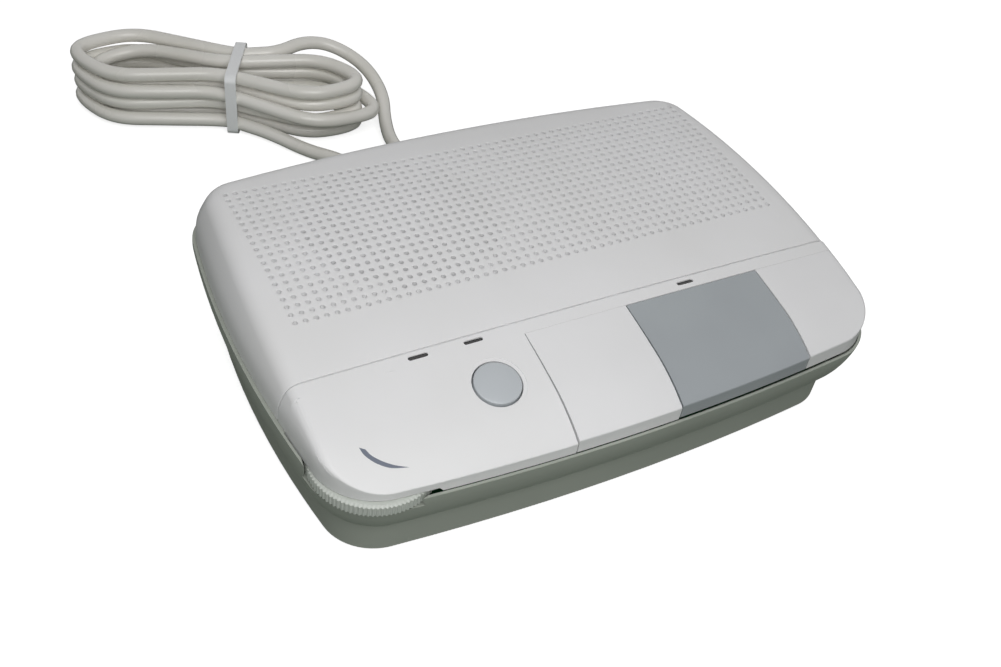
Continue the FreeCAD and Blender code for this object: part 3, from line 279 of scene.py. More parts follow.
class Paintbox:
    """Builds each finish once and hands it out."""

    def __init__(self) -> None:
        """Starts with no finish built."""
        self._built: dict[Finish, bpy.types.Material] = {}

    def get(self, finish: Finish) -> bpy.types.Material:
        """Returns the material of a finish, and builds it on first use."""
        if finish not in self._built:
            self._built[finish] = finish.value.build()
        return self._built[finish]

    def dress(self, piece: bpy.types.Object, finish: Finish) -> None:
        """Gives a whole piece one finish, in place of whatever it had."""
        piece.data.materials.clear()
        piece.data.materials.append(self.get(finish))


# The form of the case

@dataclass(frozen=True)
class CaseForm:
    """Main sizes of the case, in millimetres, in the level frame whose z = 0 is the parting plane."""

    width: float = 171.5
    depth: float = 121.7
    front_bow: float = 688.0
    back_bow: float = 532.0
    side_bow: float = 300.0
    front_corner: float = 17.7
    back_corner: float = 14.8
    wedge_deg: float = 3.0
    parting_height: float = 29.8
    crown_r: float = 327.4
    crown_y: float = 17.9
    crown_z: float = 14.3
    roll_r: float = 44.7
    roll_y: float = -45.0
    front_inset: float = 1.0
    wall: float = 2.2
    shoulder: tuple[tuple[float, float], ...] = (
        (-3.0, 1.0), (2.0, 1.0), (5.0, 1.35), (7.0, 2.0), (8.8, 2.85), (11.5, 4.3), (16.0, 7.0))
    shoulder_corner_share: float = 1.2
    groove_y: float = -25.4
    groove_width: float = 0.8
    groove_depth: float = 0.7
    seam: float = 0.15
    key_back_y: float = -29.4
    key_gap: float = 0.3
    panel_step: float = 0.5

    def to_row(self) -> Matrix:
        """Returns the transform from level millimetres to the row frame in metres."""
        tip = Matrix.Rotation(math.radians(self.wedge_deg), 4, "X")
        return Matrix.Scale(MM, 4) @ Matrix.Translation((0, 0, self.parting_height)) @ tip

    def crown(self, x: float, y: float, drop: float = 0.0) -> float:
        """Height of the crowned lid at a point of the plan.

        Args:
            x: millimetres to the right.
            y: millimetres to the back.
            drop: how far inside the outer surface.

        Returns:
            Height above the parting plane.
        """
        axis_y = self.front_bow - self.depth / 2
        y = axis_y - math.hypot(x, axis_y - y)
        rise = math.sqrt(self.crown_r ** 2 - (self.roll_y - self.crown_y) ** 2)
        lean = Vector((self.roll_y - self.crown_y, rise)).normalized()
        centre = Vector((self.crown_y, self.crown_z - self.crown_r))
        roll_centre = centre + lean * (self.crown_r - self.roll_r)
        roll_start = centre.x + lean.x * (self.crown_r - drop)
        if y >= roll_start:
            return centre.y + math.sqrt(max(0.0, (self.crown_r - drop) ** 2 - (y - centre.x) ** 2))
        return roll_centre.y + math.sqrt(max(0.0, (self.roll_r - drop) ** 2 - (y - roll_centre.x) ** 2))


def clamp(value: float) -> float:
    """Returns a value kept between zero and one."""
    return max(0.0, min(1.0, value))


def ease(share: float) -> float:
    """Returns a share between zero and one with a soft start and a soft end."""
    return share * share * (3 - 2 * share)


def smooth_between(table: Sequence[tuple[float, float]], place: float) -> float:
    """Reads a value from a table with a smooth curve through its rows.

    Args:
        table: rows of place and value, in rising order of place.
        place: where to read.

    Returns:
        The value there.
    """
    last = len(table) - 1
    index = max(0, min(last - 1, sum(1 for row in table[1:-1] if row[0] <= place)))
    (x0, y0), (x1, y1) = table[index], table[index + 1]

    def slope(here: int) -> float:
        low, high = max(0, here - 1), min(last, here + 1)
        return (table[high][1] - table[low][1]) / (table[high][0] - table[low][0])

    span = x1 - x0
    t = (place - x0) / span
    t2, t3 = t * t, t * t * t
    return ((2 * t3 - 3 * t2 + 1) * y0 + (t3 - 2 * t2 + t) * span * slope(index)
            + (3 * t2 - 2 * t3) * y1 + (t3 - t2) * span * slope(index + 1))


class Outline:
    """The plan of the case at one level: four bows joined by tangent corner arcs."""

    def __init__(self, form: CaseForm, side: float, front: float, back: float, tighter: float) -> None:
        """Lays out the bows and corners for the given insets and how much tighter the corners are."""
        half_w, half_d = form.width / 2, form.depth / 2
        self.bows = {
            "front": (Vector((0, form.front_bow - half_d)), form.front_bow - front, Vector((0, -1))),
            "right": (Vector((half_w - form.side_bow, 0)), form.side_bow - side, Vector((1, 0))),
            "back": (Vector((0, half_d - form.back_bow)), form.back_bow - back, Vector((0, 1))),
            "left": (Vector((form.side_bow - half_w, 0)), form.side_bow - side, Vector((-1, 0))),
        }
        self.corners: dict[tuple[str, str], tuple[Vector, Vector, Vector]] = {}
        names = list(self.bows)
        for here, there in zip(names, names[1:] + names[:1]):
            centre, radius, facing = self.bows[here]
            next_centre, next_radius, next_facing = self.bows[there]
            corner = (form.back_corner if "back" in (here, there) else form.front_corner) - tighter
            middle = self._meet(centre, radius - corner, next_centre, next_radius - corner,
                                facing + next_facing)
            start = centre + (middle - centre).normalized() * radius
            end = next_centre + (middle - next_centre).normalized() * next_radius
            self.corners[(here, there)] = (start, middle, end)

    @staticmethod
    def _meet(a: Vector, ra: float, b: Vector, rb: float, towards: Vector) -> Vector:
        """Returns the crossing of two circles that lies towards a direction."""
        span = b - a
        along = (ra ** 2 - rb ** 2 + span.length_squared) / (2 * span.length)
        rise = math.sqrt(ra ** 2 - along ** 2)
        axis = span.normalized()
        across = Vector((-axis.y, axis.x))
        if across.dot(towards) < 0:
            across = -across
        return a + axis * along + across * rise

    def on_side(self, name: str, y: float) -> Vector:
        """Returns the point of the right or left bow at a given y."""
        centre, radius, facing = self.bows[name]
        return Vector((centre.x + facing.x * math.sqrt(radius ** 2 - y ** 2), y))

    def bow_points(self, name: str, start: Vector, end: Vector, count: int) -> list[Vector]:
        """Points along a bow from start up to but not including end."""
        return self._arc(self.bows[name][0], start, end, count)

    def corner_points(self, here: str, there: str, count: int) -> list[Vector]:
        """Points round a corner arc from its start up to but not including its end."""
        start, middle, end = self.corners[(here, there)]
        return self._arc(middle, start, end, count)

    @staticmethod
    def _arc(centre: Vector, start: Vector, end: Vector, count: int) -> list[Vector]:
        """Points round a circle from start up to but not including end, the short way round."""
        first = math.atan2(start.y - centre.y, start.x - centre.x)
        turn = math.remainder(math.atan2(end.y - centre.y, end.x - centre.x) - first, 2 * math.pi)
        radius = (start - centre).length
        angles = [first + turn * n / count for n in range(count)]
        return [centre + Vector((math.cos(angle), math.sin(angle))) * radius for angle in angles]


Walk = Callable[[Outline], list[Vector]]


@dataclass(frozen=True)
class Section:
    """One rim station: the crown's edge, the blend over it, and the shoulder down to the seam."""

    crown_edge: Vector
    below: list[Vector]


@dataclass(frozen=True)
class Skin:
    """The moulded skin of the upper case at a distance inside its outer surface."""

    form: CaseForm
    offset: float = 0.0
    level_step: float = 0.25
    top_level: float = 14.5
    wall_share: float = 0.9
    meeting_rounds: int = 6

    def height(self, x: float, y: float) -> float:
        """Returns the crown's height at a point of the plan."""
        return self.form.crown(x, y, self.offset)

    def outline(self, z: float) -> Outline:
        """Returns the plan of the shoulder at a level."""
        form = self.form
        inset = smooth_between(form.shoulder, z)
        side, front = inset + self.offset, form.front_inset + self.offset
        tighter = front + form.shoulder_corner_share * (inset - form.front_inset)
        return Outline(form, side, front, side, tighter)

    def sections(self, walk: Walk, bottom: float, rounding: float, blend_steps: int,
                 wall_steps: int) -> list[Section]:
        """Works out the section at every station of a walk along the rim.

        Args:
            walk: gives the stations of one level's outline.
            bottom: height of the lowest edge.
            rounding: length of the blend over the crown's edge.
            blend_steps: steps across the blend.
            wall_steps: steps from the blend down to the bottom.

        Returns:
            One section for each station.
        """
        step = self.level_step
        levels = [bottom + step * n for n in range(int((self.top_level - bottom) / step) + 1)]
        loops = [walk(self.outline(level)) for level in levels]
        found = []
        for station in range(len(loops[0])):
            column = [loop[station] for loop in loops]

            def at(z: float, column: list[Vector] = column) -> Vector:
                """Returns the shoulder's point at a level."""
                place = max(0.0, min(len(levels) - 1.001, (z - bottom) / step))
                flat = column[int(place)].lerp(column[int(place) + 1], place - int(place))
                return Vector((flat.x, flat.y, z))

            reached = (level for level, flat in zip(levels, column) if level >= self.height(flat.x, flat.y))
            meet = next(reached, levels[-1])
            for _ in range(self.meeting_rounds):
                edge = at(meet)
                meet = self.height(edge.x, edge.y)
            edge = at(meet)
            before, after = loops[0][max(0, station - 1)], loops[0][min(len(loops[0]) - 1, station + 1)]
            along = (after - before).normalized()
            flat_end = edge.xy + Vector((-along.y, along.x)) * rounding
            end = Vector((flat_end.x, flat_end.y, self.height(flat_end.x, flat_end.y)))
            top = meet - self.wall_share * rounding
            start = at(top)
            below = []
            for n in range(1, blend_steps + 1):
                t = n / blend_steps
                below.append(end * (1 - t) ** 2 + edge * (2 * t * (1 - t)) + start * t * t)
            for n in range(1, wall_steps + 1):
                below.append(at(top + (bottom - top) * n / wall_steps))
            found.append(Section(end, below))
        return found


# Mesh help

def grow_ring(bm: bmesh.types.BMesh, ring: Sequence[bmesh.types.BMVert], places: Sequence[Vector],
              closed: bool = False) -> list[bmesh.types.BMVert]:
    """Extrudes a chain of edges once and moves its new vertices to the given places.

    Args:
        bm: the mesh.
        ring: the chain's vertices in order.
        places: where the new vertices go.
        closed: whether the chain closes on itself.

    Returns:
        The new chain's vertices in order.
    """
    chain = list(ring) + ([ring[0]] if closed else [])
    edges = [bm.edges.get((a, b)) for a, b in zip(chain, chain[1:])]
    made = bmesh.ops.extrude_edge_only(bm, edges=edges)["geom"]
    fresh = {item for item in made if isinstance(item, bmesh.types.BMVert)}
    grown = [next(edge.other_vert(vert) for edge in vert.link_edges if edge.other_vert(vert) in fresh)
             for vert in ring]
    for vert, place in zip(grown, places):
        vert.co = place
    return grown


def face_up(bm: bmesh.types.BMesh) -> None:
    """Turns every face of an open skin over if most of it faces down."""
    if sum(face.normal.z * face.calc_area() for face in bm.faces) < 0:
        bmesh.ops.reverse_faces(bm, faces=bm.faces[:])


def finish_mesh(name: str, bm: bmesh.types.BMesh, matrix: Matrix,
                smooth_deg: float = 38.0) -> bpy.types.Object:
    """Places a bmesh in the row frame and makes an object of it, smooth but for its sharp edges.

    Args:
        name: the piece's name.
        bm: the mesh, which is freed.
        matrix: takes it to the row frame.
        smooth_deg: edges that turn by more than this stay sharp.

    Returns:
        The new object, linked to the scene.
    """
    bmesh.ops.transform(bm, matrix=matrix, verts=bm.verts[:])
    mesh = bpy.data.meshes.new(name)
    bm.normal_update()
    limit = math.radians(smooth_deg)
    for face in bm.faces:
        face.smooth = True
    for edge in bm.edges:
        edge.smooth = not (edge.is_manifold and edge.calc_face_angle(0.0) > limit)
    bm.to_mesh(mesh)
    bm.free()
    piece = bpy.data.objects.new(name, mesh)
    bpy.context.scene.collection.objects.link(piece)
    return piece


def merged_copy(node: str, to_row: Matrix) -> bmesh.types.BMesh:
    """Copies a CAD node's mesh into a frame of its own and merges its vertices.

    Args:
        node: the CAD node's name.
        to_row: takes that frame, in millimetres, to the row frame in metres.

    Returns:
        The copy, in millimetres.
    """
    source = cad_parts[node]
    bm = bmesh.new()
    bm.from_mesh(source.data)
    bmesh.ops.transform(bm, matrix=to_row.inverted() @ source.matrix_world, verts=bm.verts[:])
    bmesh.ops.remove_doubles(bm, verts=bm.verts[:], dist=0.002)
    return bm


def tube(bm: bmesh.types.BMesh, x: float, y: float, inner: float, outer: float, low: float,
         high: float) -> None:
    """Adds a closed tube with its axis along Z by turning its section round."""
    corners = [(inner, low), (outer, low), (outer, high), (inner, high)]
    section = [bm.verts.new((x + radius, y, z)) for radius, z in corners]
    edges = [bm.edges.new((section[n], section[n - 1])) for n in range(4)]
    bmesh.ops.spin(bm, geom=section + edges, cent=(x, y, 0), axis=(0, 0, 1), angle=2 * math.pi, steps=32,
                   use_merge=True)


# Top case

@dataclass(frozen=True)
class Grille:
    """The square field of round holes; only those in front of the speaker go through."""

    pitch: float = 2.75
    columns: int = 54
    rows: int = 20
    centre_y: float = 17.9
    ease_r: float = 0.82
    hole_r: float = 0.68
    ease_depth: float = 0.1
    blind_depth: float = 1.3
    speaker_column: float = 14.5
    speaker_row: float = 10.0
    open_radius: float = 9.7
    slack: float = 0.01

    @property
    def half(self) -> Vector:
        """Half the field's length and depth."""
        return Vector((self.columns, self.rows)) * self.pitch / 2

    @property
    def speaker(self) -> Vector:
        """The point of the plan over the speaker's middle."""
        away = Vector((self.speaker_column - (self.columns - 1) / 2, self.speaker_row - (self.rows - 1) / 2))
        return away * self.pitch + Vector((0, self.centre_y))

    def cell(self, point: Vector) -> tuple[Vector, bool]:
        """Returns the middle of the cell that a point lies in, and whether its hole goes through."""
        column = math.floor((point.x + self.half.x) / self.pitch)
        row = math.floor((point.y - self.centre_y + self.half.y) / self.pitch)
        middle = Vector((column + 0.5, row + 0.5)) * self.pitch - self.half + Vector((0, self.centre_y))
        away = math.hypot(column - self.speaker_column, row - self.speaker_row)
        return middle, away <= self.open_radius

    def perimeter_place(self, point: Vector) -> float:
        """Returns how far round the field's edge a point lies, counted from the front right corner."""
        x, y = point.x, point.y - self.centre_y
        half, slack = self.half, self.slack
        length, depth = 2 * half.x, 2 * half.y
        if x > half.x - slack and y < half.y - slack:
            return y + half.y
        if y > half.y - slack and x > slack - half.x:
            return depth + half.x - x
        if x < slack - half.x and y > slack - half.y:
            return depth + length + half.y - y
        return 2 * depth + length + x + half.x


@dataclass(frozen=True)
class Boss:
    """Hollow posts under the lid: radii, height of the foot and how far the top enters the wall."""

    inner: float
    outer: float
    foot: float
    into_wall: float = 0.0


@dataclass
class TopCase:
    """The crowned lid with its grille, shoulder and front groove, and the seat and bosses under it."""

    form: CaseForm
    grille: Grille
    paints: Paintbox
    side_stations: int = 44
    corner_stations: int = 16
    back_stations: int = 130
    rounding: float = 3.2
    blend_steps: int = 6
    wall_steps: int = 6
    rings: int = 6
    edge_y: float = 0.15
    groove_lip: float = 0.12
    hole_sides: int = 12
    first_inset: float = 0.3
    next_inset: float = 0.05
    seat: Boss = Boss(26.9, 28.5, 9.6, 0.4)
    case_boss: Boss = Boss(1.55, 3.6, -2.0, -0.1)
    case_bosses: tuple[tuple[float, float], ...] = (
        (-66.0, 44.0), (66.0, 44.0), (-66.0, -14.0), (66.0, -14.0))
    bezel_boss: Boss = Boss(1.05, 2.4, 6.0)
    bezel_bosses: tuple[tuple[float, float], ...] = (
        (-60.0, -20.5), (-22.0, -20.5), (22.0, -20.5), (63.0, -20.5))
    clamp_boss: Boss = Boss(1.05, 2.2, 8.8)
    clamp_reach: float = 32.1
    clamp_turns: tuple[float, ...] = (30.0, 150.0, 270.0)

    @property
    def groove_back(self) -> float:
        """Depth of the plan at which the groove's back wall stands."""
        return self.form.groove_y + self.form.groove_width / 4

    def _walk(self, outline: Outline) -> list[Vector]:
        """Stations along the right side, the back and the left side of one level."""
        y = self.groove_back + self.edge_y
        corner = 2 * self.corner_stations
        right, left = outline.corners[("right", "back")], outline.corners[("back", "left")]
        points = outline.bow_points("right", outline.on_side("right", y), right[0], self.side_stations)
        points += outline.corner_points("right", "back", corner)
        points += outline.bow_points("back", right[2], left[0], self.back_stations)
        points += outline.corner_points("back", "left", corner)
        points += outline.bow_points("left", left[2], outline.on_side("left", y), self.side_stations)
        return points + [outline.on_side("left", y)]

    def _field(self, bm: bmesh.types.BMesh, under: bool) -> list[bmesh.types.BMVert]:
        """Adds the grille field as one sheet and returns the vertices round its edge in order.

        Args:
            bm: the mesh.
            under: whether this is the underside, where only the open holes show.
        """
        grille = self.grille
        half = grille.half
        shape = Matrix.Translation((0, grille.centre_y, 0)) @ Matrix.Diagonal((2 * half.x, 2 * half.y, 1, 1))
        bmesh.ops.create_grid(bm, x_segments=grille.columns, y_segments=grille.rows, size=0.5, matrix=shape)
        bmesh.ops.bisect_edges(bm, edges=bm.edges[:], cuts=2)
        wall = self.form.wall
        for vert in bm.verts:
            vert.co.z = -wall if under else 0.0
        holes = [(face, *grille.cell(face.calc_center_bounds())) for face in bm.faces]
        if under:
            holes = [hole for hole in holes if hole[2]]
            steps = [(grille.hole_r, lambda is_open: -wall)]
        else:
            steps = [(grille.ease_r, lambda is_open: 0.0),
                     (grille.hole_r, lambda is_open: -grille.ease_depth),
                     (grille.hole_r, lambda is_open: -wall if is_open else -grille.blind_depth)]
        side = 2 * math.pi / self.hole_sides
        for number, (radius, depth) in enumerate(steps):
            inset = self.next_inset if number else self.first_inset
            bmesh.ops.inset_individual(bm, faces=[hole[0] for hole in holes], thickness=inset)
            for face, middle, is_open in holes:
                for vert in face.verts:
                    turn = math.atan2(vert.co.y - middle.y, vert.co.x - middle.x)
                    turn = side * (round(turn / side - 0.5) + 0.5)
                    x, y = middle.x + radius * math.cos(turn), middle.y + radius * math.sin(turn)
                    vert.co = (x, y, depth(is_open))
        bmesh.ops.delete(bm, geom=[hole[0] for hole in holes if hole[2]], context="FACES_ONLY")
        edge_x, edge_y = half.x - grille.slack, half.y - grille.slack
        ring = [vert for vert in bm.verts
                if abs(vert.co.x) > edge_x or abs(vert.co.y - grille.centre_y) > edge_y]
        return sorted(ring, key=lambda vert: grille.perimeter_place(vert.co))

    def _sheet(self, bm: bmesh.types.BMesh, under: bool) -> None:
        """Adds the outer or inner skin: the field, the crown round it, the shoulder and the front edge."""
        form = self.form
        skin = Skin(form, form.wall if under else 0.0)
        ring = self._field(bm, under)
        for vert in bm.verts:
            vert.co.z += form.crown(vert.co.x, vert.co.y)
        front_y = self.groove_back + self.edge_y
        sections = skin.sections(self._walk, form.seam, self.rounding, self.blend_steps, self.wall_steps)
        for section in (sections[0], sections[-1]):
            for point in [section.crown_edge] + section.below:
                point.y = front_y
        corners = len(sections)
        rim = [section.crown_edge for section in sections]
        front_count = len(ring) - corners
        right_end, left_end = rim[0], rim[-1]
        for n in range(front_count):
            plan = left_end.lerp(right_end, (n + 1) / (front_count + 1))
            rim.append(Vector((plan.x, front_y, skin.height(plan.x, front_y))))
        start = [vert.co.copy() for vert in ring]
        for step in range(1, self.rings + 1):
            share = step / self.rings
            places = []
            for first, last in zip(start, rim):
                plan = first.lerp(last, share)
                blend = (first.z - skin.height(first.x, first.y)) * (1 - share)
                places.append(Vector((plan.x, plan.y, skin.height(plan.x, plan.y) + blend)))
            ring = grow_ring(bm, ring, places, closed=True)
        chain = ring[:corners]
        right, left = [], []
        for step in range(len(sections[0].below)):
            chain = grow_ring(bm, chain, [section.below[step] for section in sections])
            right.append(chain[0])
            left.append(chain[-1])
        front = right[::-1] + [ring[0]] + ring[:corners - 1:-1] + [ring[corners - 1]] + left
        self._front_edge(bm, front, under)

    def _front_edge(self, bm: bmesh.types.BMesh, chain: list[bmesh.types.BMVert], under: bool) -> None:
        """Grows the front edge of a skin through the groove to the seam.

        Args:
            bm: the mesh.
            chain: the skin's front vertices from the right end over the crown to the left end.
            under: whether this is the underside, which has no groove.
        """
        form = self.form
        seam_y = form.groove_y + form.seam / 2
        steps = [(self.groove_back, self.groove_lip), (self.groove_back, form.groove_depth),
                 (seam_y, form.groove_depth)]
        start = [vert.co.copy() for vert in chain]
        inward = []
        for n, point in enumerate(start):
            along = start[min(n + 1, len(start) - 1)] - start[max(n - 1, 0)]
            inward.append(Vector((-along.z, 0.0, along.x)).normalized())
        middle = inward[len(inward) // 2]
        turn = 1.0 if middle.z < 0 else -1.0
        for number, (y, depth) in enumerate(steps):
            if under:
                depth = 0.0
                first_y = self.groove_back + self.edge_y
                y = first_y + (seam_y - first_y) * (number + 1) / len(steps)
            places = []
            for point, normal in zip(start, inward):
                moved = point + normal * (turn * depth)
                places.append(Vector((moved.x, y, max(form.seam, moved.z))))
            chain = grow_ring(bm, chain, places)

    def build(self) -> bpy.types.Object:
        """Builds the lid as one closed piece in place of the CAD node."""
        form = self.form
        bm = bmesh.new()
        self._sheet(bm, under=False)
        inside = bmesh.new()
        self._sheet(inside, under=True)
        lining = bpy.data.meshes.new("lining")
        inside.to_mesh(lining)
        inside.free()
        bm.from_mesh(lining)
        bpy.data.meshes.remove(lining)
        bmesh.ops.remove_doubles(bm, verts=bm.verts[:], dist=0.0005)
        bmesh.ops.bridge_loops(bm, edges=[edge for edge in bm.edges if edge.is_boundary])
        bmesh.ops.recalc_face_normals(bm, faces=bm.faces[:])
        self._bosses(bm)
        piece = finish_mesh("top_case_shell", bm, form.to_row())
        normals = piece.modifiers.new("even_normals", "WEIGHTED_NORMAL")
        normals.keep_sharp = True
        self.paints.dress(piece, Finish.CASE)
        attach(piece, "case")
        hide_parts("top_case")
        LOG.info("top case: %d faces", len(piece.data.polygons))
        return piece

    def _bosses(self, bm: bmesh.types.BMesh) -> None:
        """Adds the speaker seat and the screw bosses under the lid."""
        form, middle = self.form, self.grille.speaker
        before = set(bm.faces)
        turns = [math.radians(degrees) for degrees in self.clamp_turns]
        clamps = [(middle.x + self.clamp_reach * math.cos(turn), middle.y + self.clamp_reach * math.sin(turn))
                  for turn in turns]
        for boss, places in ((self.case_boss, self.case_bosses), (self.bezel_boss, self.bezel_bosses),
                             (self.clamp_boss, clamps)):
            for x, y in places:
                top = form.crown(x, y) - form.wall + boss.into_wall
                tube(bm, x, y, boss.inner, boss.outer, boss.foot, top)
        seat = self.seat
        top = form.crown(middle.x, middle.y + seat.outer) - form.wall + seat.into_wall
        tube(bm, middle.x, middle.y, seat.inner, seat.outer, seat.foot, top)
        bmesh.ops.recalc_face_normals(bm, faces=[face for face in bm.faces if face not in before])


# Front pieces

@dataclass(frozen=True)
class Rise:
    """How far the top of a front piece stands above the even crown of its CAD node, in millimetres."""

    back: float
    front: float
    reach: float = 1.9
    bend: float = 1.4

    def at(self, form: CaseForm, x: float, y: float) -> float:
        """Returns the rise at a point of the plan, which grows from the back edge to the front wall."""
        bow = form.front_bow - form.front_inset
        front_y = form.front_bow - form.depth / 2 - math.sqrt(bow ** 2 - x ** 2)
        share = (form.key_back_y - y) / (form.key_back_y - front_y)
        return self.back + (self.front - self.back) * clamp(share) ** self.bend


@dataclass(frozen=True)
class RimCorner:
    """The corner between crown and wall at one place of the front rim."""

    place: Vector
    inward: Vector
    lean: float
    slope: float

    def split(self, s: float, h: float) -> tuple[float, float]:
        """Returns how far a point lies along the crown and down the wall, from its inset and height."""
        down = h / self.fall
        return (s + down * self.lean / self.wall_length) * self.crown_length, down

    def join(self, along: float, down: float) -> tuple[float, float]:
        """Returns the inset and the height over the crown of a point, the opposite of split."""
        return along / self.crown_length - down * self.lean / self.wall_length, down * self.fall

    @property
    def crown_length(self) -> float:
        """Length of the crown for each millimetre of inset."""
        return math.hypot(1.0, self.slope)

    @property
    def wall_length(self) -> float:
        """Length of the wall for each millimetre of height."""
        return math.hypot(1.0, self.lean)

    @property
    def fall(self) -> float:
        """Height over the crown for each millimetre down the wall, which is negative."""
        return (self.slope * self.lean - 1.0) / self.wall_length

    @property
    def turn(self) -> float:
        """Angle through which the surface turns from the crown to the wall."""
        return math.acos((self.lean + self.slope) / (self.crown_length * self.wall_length))


@dataclass
class FrontRim:
    """The rim of the front, from the left side round both front corners to the right side."""

    form: CaseForm
    side_stations: int = 24
    corner_stations: int = 40
    front_stations: int = 280
    lowest: float = -0.9
    rounding: float = 0.1
    wall_steps: int = 4
    corners: list[RimCorner] = field(default_factory=list)
    tree: kdtree.KDTree = field(init=False)

    def __post_init__(self) -> None:
        """Works out the corners and a tree to find the nearest one."""
        skin = Skin(self.form)
        for section in skin.sections(self._walk, self.lowest, self.rounding, 1, self.wall_steps):
            place, lower = section.below[0], section.below[2]
            inward = (section.crown_edge.xy - place.xy).normalized()
            lean = (place.xy - lower.xy).dot(inward) / (place.z - lower.z)
            inner = place.xy + inward
            slope = skin.height(inner.x, inner.y) - skin.height(place.x, place.y)
            self.corners.append(RimCorner(place, inward, lean, slope))
        self.tree = kdtree.KDTree(len(self.corners))
        for index, corner in enumerate(self.corners):
            self.tree.insert((corner.place.x, corner.place.y, 0.0), index)
        self.tree.balance()

    def _walk(self, outline: Outline) -> list[Vector]:
        """Stations along the left side, the front and the right side of one level."""
        y = self.form.key_back_y
        left, right = outline.corners[("left", "front")], outline.corners[("front", "right")]
        points = outline.bow_points("left", outline.on_side("left", y), left[0], self.side_stations)
        points += outline.corner_points("left", "front", self.corner_stations)
        points += outline.bow_points("front", left[2], right[0], self.front_stations)
        points += outline.corner_points("front", "right", self.corner_stations)
        points += outline.bow_points("right", right[2], outline.on_side("right", y), self.side_stations)
        return points + [outline.on_side("right", y)]

    def nearest(self, point: Vector) -> RimCorner:
        """Returns the corner nearest to a point of the plan."""
        return self.corners[self.tree.find((point.x, point.y, 0.0))[1]]


